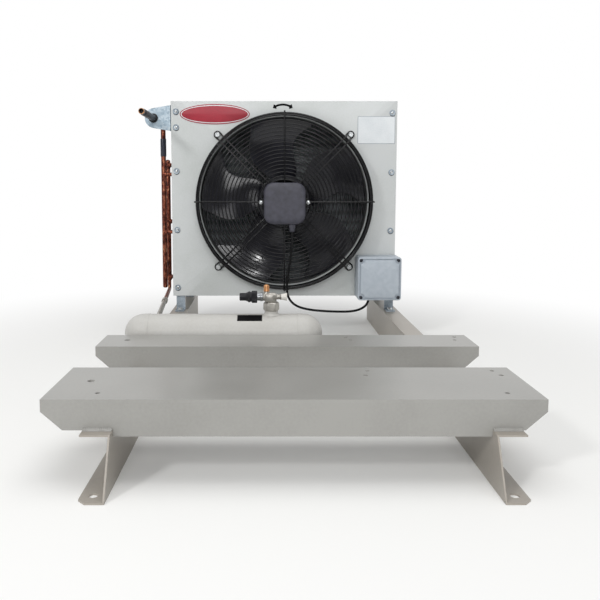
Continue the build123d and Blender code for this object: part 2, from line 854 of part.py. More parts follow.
def guard_screws():
    """Flanged screws in the four loops."""
    screws = []
    seat = casing_front - spoke
    for i in (-1, 1):
        for j in (-1, 1):
            x = fan_x + i * guard_screw_side
            z = fan_z + j * guard_screw_side
            face = seat - guard_screw_flange
            flange = prism((x, seat, z), (x, face, z), small_sides, 2 * guard_screw_flange_r)
            head = prism((x, face, z), (x, face - guard_screw_head, z), 6, guard_screw_across)
            screws.append(flange + head)
    return Compound(screws)


def motor_stator():
    """The fixed half of the external rotor motor: flange, winding body and bearing tube."""
    bore = flats(bearing_r + running_gap, collar_sides)
    flange = flats(stator_flange_r, round_sides) - bore
    core = flats(stator_r, round_sides) - bore
    stator = extrude(fan_plane(hub_face) * flange, amount=-stator_flange)
    return stator + extrude(fan_plane(hub_face) * core, amount=hub_face - stator_rear)


def motor_bearings():
    """Two ball bearings in the bearing tube, as plain rings."""
    ring = round_ring(bearing_r, shaft_r + running_gap)
    front = extrude(fan_plane(bearing_front) * ring, amount=-bearing_width)
    return Compound([front, extrude(fan_plane(bearing_rear) * ring, amount=-bearing_width)])


def motor_shaft():
    front = bearing_front - shaft_proud
    return extrude(fan_plane(front) * Circle(shaft_r), amount=-(rotor_rear - rotor_wall - front))


def rotor_can():
    """The turning outer can of the motor, closed at the back."""
    can = extrude(fan_plane(rotor_front) * flats(rotor_r, round_sides), amount=-(rotor_rear - rotor_front))
    hollow = flats(rotor_r - rotor_wall, round_sides)
    return can - extrude(fan_plane(rotor_front) * hollow, amount=-(rotor_rear - rotor_wall - rotor_front))


# A sickle blade's edges at five stations: how far out on the blade, then the angles of the leading and
# the trailing edge from the blade's own start, seen from the front
blade_stations = [(0.0, -8.0, 50.0), (0.19, -3.0, 55.0), (0.47, 8.0, 57.0), (0.765, 6.0, 49.0),
                  (1.0, -3.0, 43.0)]


def blade_row(station, start, skin):
    """Points across the blade at one station: leading edge at the back, trailing edge in front."""
    out, lead, trail = station
    root = rotor_r + rotor_wall / 2
    radius = root + out * (orifice_r - tip_gap - root)
    row = []
    for step in range(blade_steps + 1):
        share = step / blade_steps
        angle = radians(start + lead + (trail - lead) * share)
        deep = blade_sheet + (blade_depth - 2 * blade_sheet) * (1 - share)
        deep += 4 * blade_camber * share * (1 - share) + skin
        row.append(Vector(fan_x + radius * cos(angle), blade_front + deep, fan_z + radius * sin(angle)))
    return row


def sickle_blade(start):
    """A cambered blade of even sheet, built from flat facets between its stations."""
    half = blade_sheet / 2
    fronts = [blade_row(station, start, -half) for station in blade_stations]
    backs = [blade_row(station, start, half) for station in blade_stations]
    faces = []
    for skin in (fronts, backs):
        for inner, outer in zip(skin, skin[1:]):
            for i in range(blade_steps):
                faces.append(patch(inner[i], inner[i + 1], outer[i + 1]))
                faces.append(patch(inner[i], outer[i + 1], outer[i]))
    for j in (0, -1):
        for i in range(blade_steps):
            faces.append(patch(fronts[j][i], fronts[j][i + 1], backs[j][i + 1], backs[j][i]))
    for i in (0, -1):
        for j in range(len(blade_stations) - 1):
            faces.append(patch(fronts[j][i], fronts[j + 1][i], backs[j + 1][i], backs[j][i]))
    return Solid(Shell(faces))


def fan_blades():
    """Five sickle blades on their root ring."""
    bore = rotor_r + root_gap
    root = round_ring(bore + ring_wall, bore, round_sides)
    wheel = extrude(fan_plane(blade_front) * root, amount=-blade_depth)
    for i in range(blade_count):
        wheel += sickle_blade(blade_first_angle + 360 / blade_count * i)
    return wheel


def motor_cover():
    """The plastic terminal cover in front of the guard: a shell with rounded corners."""
    plane = Plane(origin=(fan_x, strap_face, fan_z - cover_drop), x_dir=(1, 0, 0), z_dir=(0, -1, 0))
    cover = extrude(plane * rounded_square(cover_width, cover_corner), amount=cover_depth)
    cover = chamfer(cover.faces().sort_by(Axis.Y)[0].edges(), cover_edge)
    hollow = rounded_square(cover_width - 2 * cover_wall, cover_corner - cover_wall)
    return cover - extrude(plane * hollow, amount=cover_depth - cover_wall - cover_edge)


def cover_strap():
    """The steel strap behind the cover, with a pointed ear at each side."""
    half = cover_width / 2 + strap_ear
    low = fan_z - strap_width / 2
    high = fan_z + strap_width / 2
    ear = strap_width / 2
    outline = [(fan_x - half, fan_z), (fan_x - half + ear, high), (fan_x + half - ear, high),
               (fan_x + half, fan_z), (fan_x + half - ear, low), (fan_x - half + ear, low)]
    return front_sheet(outline, strap_face, wire)


def motor_gland():
    """Cable gland under the cover: a hexagon and a tapering nut."""
    x = fan_x + gland_side
    y = cover_face + gland_set
    top = fan_z - cover_drop - cover_width / 2
    hexagon = prism((x, y, top), (x, y, top - gland_length / 2), 6, 2 * gland_r)
    end = top - gland_length
    return hexagon + prism((x, y, top), (x, y, end), small_sides, 2 * gland_r - gland_taper)


def cable_radii(points):
    """Each corner's arc: 0.45 of the shorter run over the tangent of half the turn."""
    radii = []
    for before, here, after in zip(points, points[1:], points[2:]):
        come = Vector(*here) - Vector(*before)
        go = Vector(*after) - Vector(*here)
        turn = radians(come.get_angle(go))
        radii.append(0.45 * min(come.length, go.length) / tan(turn / 2))
    return radii


def fan_cable():
    radii = cable_radii(cable_points)
    path = FilletPolyline(*cable_points, radius=radii)
    start = Vector(*cable_points[0])
    way = (Vector(*cable_points[1]) - start).normalized()
    section = RegularPolygon(cable_r, wire_sides)
    cable = sweep(Plane(origin=start, z_dir=way) * section, path=path)
    print("cable radii", [round(r) for r in radii], "length", round(path.length, 1),
          "volume over section x length", round(cable.volume / (section.area * path.length), 4))
    return cable


def cable_tie():
    """A strap round the cable and the guard's lower spoke."""
    z = fan_z - side_ring_r + tie_lift
    left = fan_x - spoke / 2 - saddle_gap
    right = fan_x + tie_side + cable_r + tie_gap
    front = guard_face - cable_lie - 2 * cable_r - tie_gap
    back = guard_face + spoke + saddle_gap
    low = z - tie_height / 2
    high = z + tie_height / 2
    outer = block(left - tie_wall, right + tie_wall, front - tie_wall, back + tie_wall, low, high)
    return outer - block(left, right, front, back, low - 1, high + 1)


# Junction box

def box_plane(y):
    return Plane(origin=(box_x, y, box_z), x_dir=(1, 0, 0), z_dir=(0, -1, 0))


def box_prism(y, size, corner, length):
    return extrude(box_plane(y) * rounded_square(size, corner), amount=length)


def junction_box():
    """The box's base: open towards the viewer, with its back on the panel."""
    base = box_prism(casing_front, box_size, box_corner, box_base)
    return base - box_prism(casing_front - box_wall, box_size - 2 * box_wall, box_corner - box_wall, box_base)


def junction_box_lid():
    lid = box_prism(box_front, box_size, box_corner, box_lid)
    lid = chamfer(lid.faces().sort_by(Axis.Y)[0].edges(), box_wall / 2)
    return lid - box_prism(box_front, box_size - 2 * box_wall, box_corner - box_wall, box_lid - box_wall)


def junction_box_screws():
    heads = []
    reach = box_size / 2 - lid_screw_in
    for i in (-1, 1):
        for j in (-1, 1):
            x = box_x + i * reach
            z = box_z + j * reach
            heads.append(screw_head_on(x, lid_front, z, lid_screw_r, screw_head / 2))
    return Compound(heads)


def junction_box_grommet():
    """The rubber entry under the box that grips the cable's end."""
    x = box_x - entry_side
    y = casing_front - entry_set
    top = box_z - box_size / 2
    return prism((x, y, top), (x, y, top - grommet_box_length), small_sides, 2 * grommet_box_r)


def terminal_block():
    back = casing_front - box_wall
    return block(box_x - terminal_length / 2, box_x + terminal_length / 2, back - terminal_height, back,
                 box_z - terminal_width / 2, box_z + terminal_width / 2)


# Receiver

def liquid_end():
    """Where the liquid line's axis meets the shell, and the way it comes from."""
    slope = radians(liquid_slope)
    x = receiver_left + liquid_in
    meet = Vector(x, receiver_y + receiver_r * sin(slope), receiver_z + receiver_r * cos(slope))
    corner = Vector(liquid_header_x, tube_y(tube_rows - 1), liquid_header_bottom - liquid_drop)
    return meet, (corner - meet).normalized(), corner


def receiver_section(x, radius):
    plane = Plane(origin=(x, receiver_y, receiver_z), x_dir=(0, 1, 0), z_dir=(1, 0, 0))
    return plane * RegularPolygon(radius, round_sides)


def receiver_shell():
    """The receiver's tube, with the boss that takes the liquid line and the valve's bore."""
    solid = extrude(receiver_section(receiver_left, receiver_r), amount=receiver_length)
    meet, way, _ = liquid_end()
    start = meet - way * receiver_wall
    end = meet + way * inlet_boss
    boss = 2 * (liquid_r + boss_wall)
    solid += prism((start.X, start.Y, start.Z), (end.X, end.Y, end.Z), small_sides, boss)
    solid -= extrude(receiver_section(receiver_left, receiver_r - receiver_wall), amount=receiver_length)
    centre = (valve_x, receiver_y, receiver_z)
    return solid - prism(centre, (valve_x, receiver_y, spud_top), collar_sides, 2 * spud_bore)


def receiver_head(seam, way):
    """A dished head: a short flange and a dome of flat facets."""
    stations = [(seam, receiver_r)]
    for turn in (0, 32, 60, 80):
        reach = receiver_r * sin(radians(turn)) / sin(radians(80))
        stations.append((seam + way * (head_flange + reach), receiver_r * cos(radians(turn))))
    rings = []
    for x, radius in stations:
        turns = [radians(360 / round_sides * i) for i in range(round_sides)]
        rings.append([Vector(x, receiver_y + radius * cos(a), receiver_z + radius * sin(a)) for a in turns])
    return faceted(rings)


def receiver_heads():
    return Compound([receiver_head(receiver_left, -1), receiver_head(receiver_right, 1)])


def receiver_saddles():
    """Two feet: an upright plate cut to the shell and a tread on the bracket."""
    feet = []
    for x in (receiver_left + saddle_in_left, receiver_right - saddle_in_right):
        front = receiver_y - bracket_width / 2
        back = receiver_y + bracket_width / 2
        tread = block(x, x + saddle_tread, front, back, bracket_top, bracket_top + sheet)
        upright = block(x, x + saddle_plate, front, back, bracket_top, bracket_top + saddle_height)
        shell = extrude(receiver_section(x, receiver_r + saddle_gap), amount=saddle_tread)
        feet.append(tread + upright - shell)
    return Compound(feet)


def receiver_spud():
    """The threaded neck that the valve's nut draws down on."""
    ring = round_ring(spud_r, spud_bore)
    neck = extrude(Plane(origin=(valve_x, receiver_y, receiver_z)) * ring, amount=spud_top - receiver_z)
    return neck - extrude(receiver_section(valve_x - spud_r - 1, receiver_r), amount=2 * spud_r + 2)


def liquid_line():
    """The liquid pipe from the header's foot to the receiver's boss."""
    meet, way, corner = liquid_end()
    end = meet + way * inlet_boss
    start = Vector(corner.X, corner.Y, liquid_header_bottom)
    path = FilletPolyline(start, corner, end, radius=liquid_bend)
    return sweep(Plane(origin=start, z_dir=(0, 0, -1)) * RegularPolygon(liquid_r, tube_sides), path=path)


def liquid_coupling():
    meet, way, corner = liquid_end()
    centre = meet + (corner - meet) * coupling_place
    half = way * (coupling_length / 2)
    ring = round_ring(liquid_r + coupling_wall, liquid_r + running_gap)
    return extrude(Plane(origin=centre - half, z_dir=way) * ring, amount=coupling_length)


# Shut-off valve

def stem_bore(start, end):
    bore = 2 * (stem_r + running_gap)
    return prism((start, receiver_y, stem_z), (end, receiver_y, stem_z), collar_sides, bore)


def rotalock_nut():
    return prism((valve_x, receiver_y, spud_top), (valve_x, receiver_y, nut_top), 6, nut_across)


def valve_body():
    """The forged body with its side port and the bore of its stem."""
    front = receiver_y - body_depth / 2
    back = receiver_y + body_depth / 2
    body = block(body_left, body_right, front, back, nut_top, body_top)
    body = chamfer(body.edges().filter_by(Axis.X), body_chamfer)
    port_end = (body_right + port_length, receiver_y, stem_z)
    body += prism((body_right, receiver_y, stem_z), port_end, small_sides, 2 * port_r)
    return body - stem_bore(body_left - 1, body_left + stem_depth + 1)


def valve_stem():
    """The stem with the square end that a key turns."""
    inner = (body_left + stem_depth, receiver_y, stem_z)
    end = packing_left - spigot_length - stem_proud
    neck = end + stem_square_length
    stem = rod(inner, (neck, receiver_y, stem_z), stem_r)
    return stem + prism((neck, receiver_y, stem_z), (end, receiver_y, stem_z), 4, stem_square)


def valve_packing_nut():
    """The hexagon over the packing, with the spigot that carries the cap."""
    nut = prism((packing_left, receiver_y, stem_z), (body_left, receiver_y, stem_z), 6, packing_across)
    end = packing_left - spigot_length
    nut += prism((end, receiver_y, stem_z), (packing_left, receiver_y, stem_z), small_sides, 2 * spigot_r)
    return nut - stem_bore(end - 1, body_left + 1)


def valve_cap():
    """The plastic cap over the stem: a gripping skirt and a narrower nose."""
    mouth = packing_left - cap_gap
    shoulder = mouth - spigot_length - stem_proud - cap_room
    across = 2 * (spigot_r + cap_wall)
    cap = prism((mouth, receiver_y, stem_z), (shoulder, receiver_y, stem_z), small_sides, across)
    nose = (shoulder - cap_nose, receiver_y, stem_z)
    cap += prism((shoulder, receiver_y, stem_z), nose, small_sides, 2 * cap_nose_r)
    room = 2 * (spigot_r + cap_fit)
    return cap - prism((mouth, receiver_y, stem_z), (shoulder, receiver_y, stem_z), small_sides, room)


def valve_port_plug():
    start = body_right + port_length
    return prism((start, receiver_y, stem_z), (start + plug_length, receiver_y, stem_z), 6, plug_across)


def valve_stub():
    """The copper liquid outlet on the valve, closed by a shipping cap."""
    x = body_left + stub_in
    return rod((x, receiver_y, body_top), (x, receiver_y, body_top + stub_length), stub_r)


os.makedirs("parts", exist_ok=True)

save(rail(-1), "rail_left")
save(rail(1), "rail_right")
save(front_beam(), "front_beam")
save(cross_beam(rear_beam_y, rear_beam_back), "rear_beam")
save(beam_welds(), "beam_welds")
save(receiver_bracket(), "receiver_bracket")

save(front_panel(), "front_panel")
save(casing_cover(casing_top, -1), "casing_top")
save(casing_cover(casing_bottom, 1), "casing_bottom")
save(side_panel(casing_left, 1, coil_front - end_plate), "side_panel_left")
save(side_panel(casing_right, -1, casing_back), "side_panel_right")
save(casing_feet(), "casing_feet")
save(foot_bolts(), "foot_bolts")
save(panel_screws(), "panel_screws")

save(fin_pack(), "fin_pack")
save(coil_end_plate(casing_left), "end_plate_left")
save(coil_end_plate(coil_right), "end_plate_right")
save(return_bends_left(), "return_bends_left")
save(return_bends_right(), "return_bends_right")
save(gas_header(), "gas_header")
save(liquid_header(), "liquid_header")
save(gas_sleeve(), "gas_sleeve")
save(gas_inlet_pipe(), "gas_inlet_pipe")
save(inlet_tab(), "inlet_tab")
save(tab_grommet(), "tab_grommet")

save(guard_front_rings(), "guard_front_rings")
save(guard_side_rings(), "guard_side_rings")
save(guard_spokes(), "guard_spokes")
save(guard_hub_plate(), "guard_hub_plate")
save(guard_screws(), "guard_screws")
save(motor_stator(), "motor_stator")
save(motor_bearings(), "motor_bearings")
save(motor_cover(), "motor_cover")
save(cover_strap(), "cover_strap")
save(motor_gland(), "motor_gland")
save(motor_shaft(), "motor_shaft")
save(rotor_can(), "rotor_can")
save(fan_blades(), "fan_blades")
save(fan_cable(), "fan_cable")
save(cable_tie(), "cable_tie")

save(junction_box(), "junction_box")
save(junction_box_lid(), "junction_box_lid")
save(junction_box_screws(), "junction_box_screws")
save(junction_box_grommet(), "junction_box_grommet")
save(terminal_block(), "terminal_block")

save(receiver_shell(), "receiver_shell")
save(receiver_heads(), "receiver_heads")
save(receiver_saddles(), "receiver_saddles")
save(receiver_spud(), "receiver_spud")
save(liquid_line(), "liquid_line")
save(liquid_coupling(), "liquid_coupling")
save(rotalock_nut(), "rotalock_nut")
save(valve_body(), "valve_body")
save(valve_stem(), "valve_stem")
save(valve_packing_nut(), "valve_packing_nut")
save(valve_cap(), "valve_cap")
save(valve_port_plug(), "valve_port_plug")
save(valve_stub(), "valve_stub")
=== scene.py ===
import math
import bmesh
import bpy
import numpy as np
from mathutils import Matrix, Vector


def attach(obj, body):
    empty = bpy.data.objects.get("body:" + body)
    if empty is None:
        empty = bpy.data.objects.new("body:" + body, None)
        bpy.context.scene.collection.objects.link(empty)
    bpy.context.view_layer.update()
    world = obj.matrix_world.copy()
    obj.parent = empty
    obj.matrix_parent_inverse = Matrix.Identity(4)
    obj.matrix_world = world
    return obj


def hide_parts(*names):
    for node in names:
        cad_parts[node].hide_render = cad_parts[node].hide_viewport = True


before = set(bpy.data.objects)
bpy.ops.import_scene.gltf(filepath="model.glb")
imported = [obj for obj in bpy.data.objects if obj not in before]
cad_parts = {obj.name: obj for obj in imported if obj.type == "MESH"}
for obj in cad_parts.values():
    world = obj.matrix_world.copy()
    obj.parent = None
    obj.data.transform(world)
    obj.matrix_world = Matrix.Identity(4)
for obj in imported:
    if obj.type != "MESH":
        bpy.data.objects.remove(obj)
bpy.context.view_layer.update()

mm = 0.001
chassis, fan, cap = "chassis", "fan", "cap"
toFront, toBack, toRight, upward, downward = (0, -1, 0), (0, 1, 0), (1, 0, 0), (0, 0, 1), (0, 0, -1)
print("frame loaded:", len(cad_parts), "nodes")

# Where things are, in millimetres in the row frame
fanX, fanZ, panelY, ringY, spokeY = 15, 425, 375, 309.5, 305.5
coilFront, tubePitch, rowPitch, coilLow = 549, 31.75, 27.5, 144.25
casingLeft, casingRight, casingHigh = -325, 355, 725
gasX, liquidX, inletZ = -378, -372, 675
receiverY, receiverZ, valveX, stubX, stemZ = -120, 134.5, -27, -38, 218


# Small tools

def linearColour(hexValue):  # sRGB hex to the linear values that shaders want
    parts = [int(hexValue.lstrip("#")[i:i + 2], 16) / 255 for i in (0, 2, 4)]
    return tuple(c / 12.92 if c <= 0.04045 else ((c + 0.055) / 1.055) ** 2.4 for c in parts) + (1,)


def firstOutput(source):  # a node stands for its first output
    return source.outputs[0] if hasattr(source, "outputs") else source


def addNode(tree, kind, settings=None, values=None, links=None, stops=None):
    # A node with its settings, plain values, links into it and, on a ramp, its colours
    node = tree.nodes.new("ShaderNode" + kind)
    for key, value in (settings or {}).items():
        setattr(node, key, value)
    for key, value in (values or {}).items():
        node.inputs[key].default_value = value
    for key, source in (links or {}).items():
        tree.links.new(firstOutput(source), node.inputs[key])
    if stops:
        ramp = node.color_ramp.elements
        while len(ramp) < len(stops):
            ramp.new(0.5)
        for element, (position, colour) in zip(ramp, stops):
            element.position = position
            element.color = linearColour(colour)
    return node


def startMaterial(name, values):  # a shader with its plain values, and the object's own coordinates
    material = bpy.data.materials.new(name)
    material.use_nodes = True
    tree = material.node_tree
    tree.nodes.clear()
    shader = addNode(tree, "BsdfPrincipled", values=values)
    addNode(tree, "OutputMaterial", links={"Surface": shader})
    coords = addNode(tree, "TexCoord").outputs["Object"]
    return material, tree, shader, coords


def addObject(name, data):  # in the scene, at the origin
    thing = bpy.data.objects.new(name, data)
    bpy.context.scene.collection.objects.link(thing)
    return thing


def grey(value):  # one value as a colour
    return (value, value, value, 1)


# Geometry: every shape is a grid of points, rows by columns, whose columns go round

def asPoints(*coordinates):  # a single number counts for every point
    return np.stack(np.broadcast_arrays(*coordinates), -1)


def capped(grid):  # closed by a pole in the middle of its first and last row
    ends = [np.repeat(grid[i].mean(axis=0)[None, None], grid.shape[1], axis=1) for i in (0, -1)]
    return np.concatenate([ends[0], grid, ends[1]])


def gridFaces(rows, columns, wrapRows):
    # Each face joins a point with its neighbours in the next column and the next row
    i = np.arange(rows if wrapRows else rows - 1)[:, None]
    j = np.arange(columns)[None, :]
    nextI, nextJ = (i + 1) % rows, (j + 1) % columns
    corners = [i * columns + j, i * columns + nextJ, nextI * columns + nextJ, nextI * columns + j]
    return np.stack(corners, axis=-1).reshape(-1, 4)


def makePiece(name, grids, material, replaced=(), sharpAngle=32, body=chassis):
    points, faces, offset = [], [], 0
    for grid in grids:  # a grid whose last row joins its first comes as (grid, True)
        grid, wrapRows = grid if isinstance(grid, tuple) else (grid, False)
        rows, columns = grid.shape[:2]
        points.append(grid.reshape(-1, 3) * mm)
        faces.append(gridFaces(rows, columns, wrapRows) + offset)
        offset += rows * columns
    mesh = bpy.data.meshes.new(name)
    mesh.from_pydata(np.concatenate(points).tolist(), [], np.concatenate(faces).tolist())
    finishMesh(mesh, sharpAngle)
    placePiece(name, mesh, material, replaced, body)


def finishMesh(mesh, sharpAngle):  # poles and seams closed, faces outwards, soft shading up to an angle
    shell = bmesh.new()
    shell.from_mesh(mesh)
    bmesh.ops.remove_doubles(shell, verts=shell.verts, dist=2e-6)
    bmesh.ops.dissolve_degenerate(shell, edges=shell.edges, dist=1e-7)
    bmesh.ops.recalc_face_normals(shell, faces=shell.faces)
    shell.to_mesh(mesh)
    shell.free()
    mesh.shade_smooth()
    mesh.set_sharp_from_angle(angle=math.radians(sharpAngle))


def placePiece(name, mesh, material, replaced, body):
    # The mesh as an object with its material, its body and the nodes that it stands for
    piece = addObject(name, mesh)
    mesh.materials.clear()
    mesh.materials.append(material)
    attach(piece, body)
    if replaced:
        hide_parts(*replaced)
    return piece


def unit(vector):  # the vector over its length
    vector = np.asarray(vector, float)
    return vector / np.linalg.norm(vector)


def allRound(count):  # equal steps of angle, once round
    return np.linspace(0, 2 * np.pi, count, endpoint=False)


def ringRound(axis, angle):
    # The axis as a unit vector, and the points of a unit circle square to it
    along = unit(axis)
    helper = np.array([0, 0, 1]) if abs(along[2]) < 0.9 else np.array([1, 0, 0])
    across = unit(np.cross(helper, along))
    up = np.cross(along, across)
    return along, np.cos(angle)[:, None] * across + np.sin(angle)[:, None] * up


def turned(profile, origin, axis, sides=48):
    # A lathe: each (along, radius) of the profile, carried round the axis. A radius of 0 is a pole.
    along, ring = ringRound(axis, allRound(sides))
    profile = np.asarray(profile, float)
    return np.asarray(origin, float) + profile[:, None, :1] * along + profile[:, None, 1:] * ring[None]


def hexTurned(profile, origin, axis, halfAcross, turn=0):
    # A hexagon bar: at each (along, limit) the radius is the hexagon's own, cut to the limit's circle
    angle = allRound(72) + math.radians(turn)
    along, ring = ringRound(axis, angle)
    own = halfAcross / np.cos((angle - math.radians(turn)) % (np.pi / 3) - np.pi / 6)
    profile = np.asarray(profile, float)
    radius = np.minimum(own[None, :], profile[:, 1:])
    return np.asarray(origin, float) + profile[:, None, :1] * along + radius[:, :, None] * ring[None]


def carried(path, radius, sides=12, closed=False, start=None):
    # A tube: a circle carried along the path on frames that don't twist, closed by a pole at each end
    path = np.asarray(path, float)
    if closed:
        ahead = np.roll(path, -1, axis=0) - np.roll(path, 1, axis=0)
    else:
        ahead = np.gradient(path, axis=0)
    ahead /= np.linalg.norm(ahead, axis=1)[:, None]
    first = start if start is not None else ([0, 0, 1] if abs(ahead[0][2]) < 0.8 else [1, 0, 0])
    side = [unit(first - ahead[0] * np.dot(first, ahead[0]))]
    for way in ahead[1:]:
        side.append(unit(side[-1] - way * np.dot(side[-1], way)))
    side = np.array(side)
    up = np.cross(ahead, side)
    angle = allRound(sides)
    radius = np.broadcast_to(np.asarray(radius, float), len(path))[:, None, None]
    ring = side[:, None] * np.cos(angle)[None, :, None] + up[:, None] * np.sin(angle)[None, :, None]
    grid = path[:, None] + radius * ring
    if closed:
        return grid
    ends = [np.repeat(path[i][None, None], sides, axis=1) for i in (0, -1)]
    return np.concatenate([ends[0], grid, ends[1]])


def rounded(corners, radius, steps=6):
    # Straight runs joined by quadratic curves that leave each run at the radius from its corner
    corners = np.asarray(corners, float)
    path = [corners[0][None]]
    for before, here, after in zip(corners, corners[1:], corners[2:]):
        come, go = here - before, after - here
        reach = min(radius, 0.48 * np.linalg.norm(come), 0.48 * np.linalg.norm(go))
        a, b = here - unit(come) * reach, here + unit(go) * reach
        t = np.linspace(0, 1, steps)[:, None]
        path.append((1 - t) ** 2 * a + 2 * t * (1 - t) * here + t ** 2 * b)
    path.append(corners[-1][None])
    return np.concatenate(path)


def squareLoop(half, corner, perCorner=8):
    # A square with round corners, as one loop of (x, z)
    corner = np.clip(corner, 0.01, half)
    angle = np.linspace(0, np.pi / 2, perCorner)
    loops = []
    for quarter, (i, j) in enumerate([(1, 1), (-1, 1), (-1, -1), (1, -1)]):
        a = angle + quarter * np.pi / 2
        loops.append(asPoints(i * (half - corner) + corner * np.cos(a),
            j * (half - corner) + corner * np.sin(a)))
    return np.concatenate(loops)


def squareStack(rows, half, corner, centreX, centreZ, perCorner=8):
    # Loops of a square with round corners, one for each (depth, inset), with a pole at the last
    grid = []
    for depth, inset in rows:
        if inset >= half:
            loop = np.zeros((4 * perCorner, 2))
        else:
            loop = squareLoop(half - inset, max(corner - inset, 0.4), perCorner)
        grid.append(asPoints(centreX + loop[:, 0], depth, centreZ + loop[:, 1]))
    return np.stack(grid)


def sheetCopy(nodeName, material, width):
    # A copy of a bent sheet from the frame, its triangles merged and its edges rounded
    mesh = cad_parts[nodeName].data.copy()
    shell = bmesh.new()
    shell.from_mesh(mesh)
    bmesh.ops.remove_doubles(shell, verts=shell.verts, dist=1e-5)
    bmesh.ops.dissolve_limit(shell, angle_limit=math.radians(1), verts=shell.verts, edges=shell.edges)
    shell.to_mesh(mesh)
    shell.free()
    piece = placePiece("sheet_" + nodeName, mesh, material, (nodeName,), chassis)
    bevel = piece.modifiers.new("edge", "BEVEL")
    bevel.width = width * mm
    bevel.segments = 2
    bevel.limit_method = "ANGLE"
    bevel.angle_limit = math.radians(35)
    bevel.harden_normals = True
    mesh.shade_smooth()
    mesh.set_sharp_from_angle(angle=math.radians(35))


# Materials

def dressShader(tree, shader, colour, glossBy, glossRange, bumpBy=None, strength=0, depth=0.0002):
    # Colour, gloss between two values, and a bump of a depth in metres
    gloss = addNode(tree, "MapRange", values={3: glossRange[0], 4: glossRange[1]}, links={0: glossBy})
    ends = {"Base Color": colour, "Roughness": gloss}
    if bumpBy:
        bump = addNode(tree, "Bump", values={"Strength": strength, "Distance": depth}, links={"Height": bumpBy})
        ends["Normal"] = bump
    for key, source in ends.items():
        tree.links.new(firstOutput(source), shader.inputs[key])


def sprayedPaint(name, hexBase, hexDusty, roughness, shadedDepths=None):
    # Two-pack paint sprayed on sheet steel: even, softly glossy, with orange peel and faint dust.
    # Given two depths, painted shade darkens it between them: the inside of the fan's collar, which stands in
    # shade, is painted dark.
    material, tree, shader, coords = startMaterial(name, {"Coat Weight": 0.12, "Coat Roughness": 0.3})
    cloud = addNode(tree, "TexNoise", values={"Scale": 1000 / 160, "Detail": 5, "Roughness": 0.6},
        links={"Vector": coords})
    speck = addNode(tree, "TexNoise", values={"Scale": 1000 / 5, "Detail": 3}, links={"Vector": coords})
    both = addNode(tree, "Math", {"operation": "MULTIPLY_ADD"}, {1: 0.35}, {0: speck, 2: cloud})
    tone = addNode(tree, "ValToRGB", links={0: both}, stops=[(0.45, hexDusty), (0.8, hexBase)])
    colour = tone
    # painted shade: between the two depths the colour falls to a tenth, as if in shade
    if shadedDepths:
        split = addNode(tree, "SeparateXYZ", links={0: coords})
        collarShade = addNode(tree, "MapRange", values={1: shadedDepths[0] * mm, 2: shadedDepths[1] * mm, 3: 1, 4: 0.1},
            links={0: split.outputs["Y"]})
        colour = addNode(tree, "VectorMath", {"operation": "SCALE"}, links={0: colour, 3: collarShade})
    peel = addNode(tree, "TexNoise", values={"Scale": 1000 / 2.5, "Detail": 1}, links={"Vector": coords})
    dressShader(tree, shader, colour, cloud, (roughness - 0.06, roughness + 0.1), peel, 0.12)
    return material


def hotDipZinc():
    # Galvanised sheet: frosty spangles a few millimetres across, each with its own tone and gloss
    material, tree, shader, coords = startMaterial("galvanisedSheet", {"Metallic": 0.55})
    flake = addNode(tree, "TexVoronoi", values={"Scale": 1000 / 7, "Randomness": 1}, links={"Vector": coords})
    tone = addNode(tree, "ValToRGB", links={0: flake.outputs["Color"]},
        stops=[(0, "#8698A5"), (0.55, "#9FAFBA"), (1, "#BAC6CE")])
    grain = addNode(tree, "TexNoise", values={"Scale": 1000 / 3, "Detail": 4}, links={"Vector": coords})
    dressShader(tree, shader, tone, flake.outputs["Color"], (0.32, 0.55), grain, 0.15)
    return material


def copperTube(name, stops, roughness, patchSize):
    # Drawn copper tube gone brown in the brazing flame, with bright spots where it was rubbed
    material, tree, shader, coords = startMaterial(name, {"Metallic": 0.8})
    drawn = addNode(tree, "Mapping", values={"Scale": (1, 1, 0.45)}, links={"Vector": coords})
    patch = addNode(tree, "TexNoise", values={"Scale": 1000 / patchSize, "Detail": 5, "Roughness": 0.75},
        links={"Vector": drawn})
    tone = addNode(tree, "ValToRGB", links={0: patch}, stops=stops)
    dressShader(tree, shader, tone, patch, (roughness + 0.18, roughness - 0.1))
    return material


def plainCoat(name, hexLow, hexHigh, roughness, grainSize, grainStrength, metallic=0, grainDepth=0.0002, coat=0,
        specular=0.5):
    # One finish with a grain: mottled between two near tones, bumped at the grain's real size
    plain = {"Metallic": metallic, "Coat Weight": coat, "Coat Roughness": 0.1, "Specular IOR Level": specular}
    material, tree, shader, coords = startMaterial(name, plain)
    grain = addNode(tree, "TexNoise", values={"Scale": 1000 / grainSize, "Detail": 3}, links={"Vector": coords})
    cloud = addNode(tree, "TexNoise", values={"Scale": 1000 / (grainSize * 18), "Detail": 3},
        links={"Vector": coords})
    both = addNode(tree, "Math", {"operation": "MULTIPLY_ADD"}, {1: 0.5}, {0: grain, 2: cloud})
    tone = addNode(tree, "ValToRGB", links={0: both}, stops=[(0.55, hexLow), (0.95, hexHigh)])
    glossRange = (max(roughness - 0.05, 0.03), roughness + 0.09)
    dressShader(tree, shader, tone, cloud, glossRange, grain, grainStrength, grainDepth)
    return material


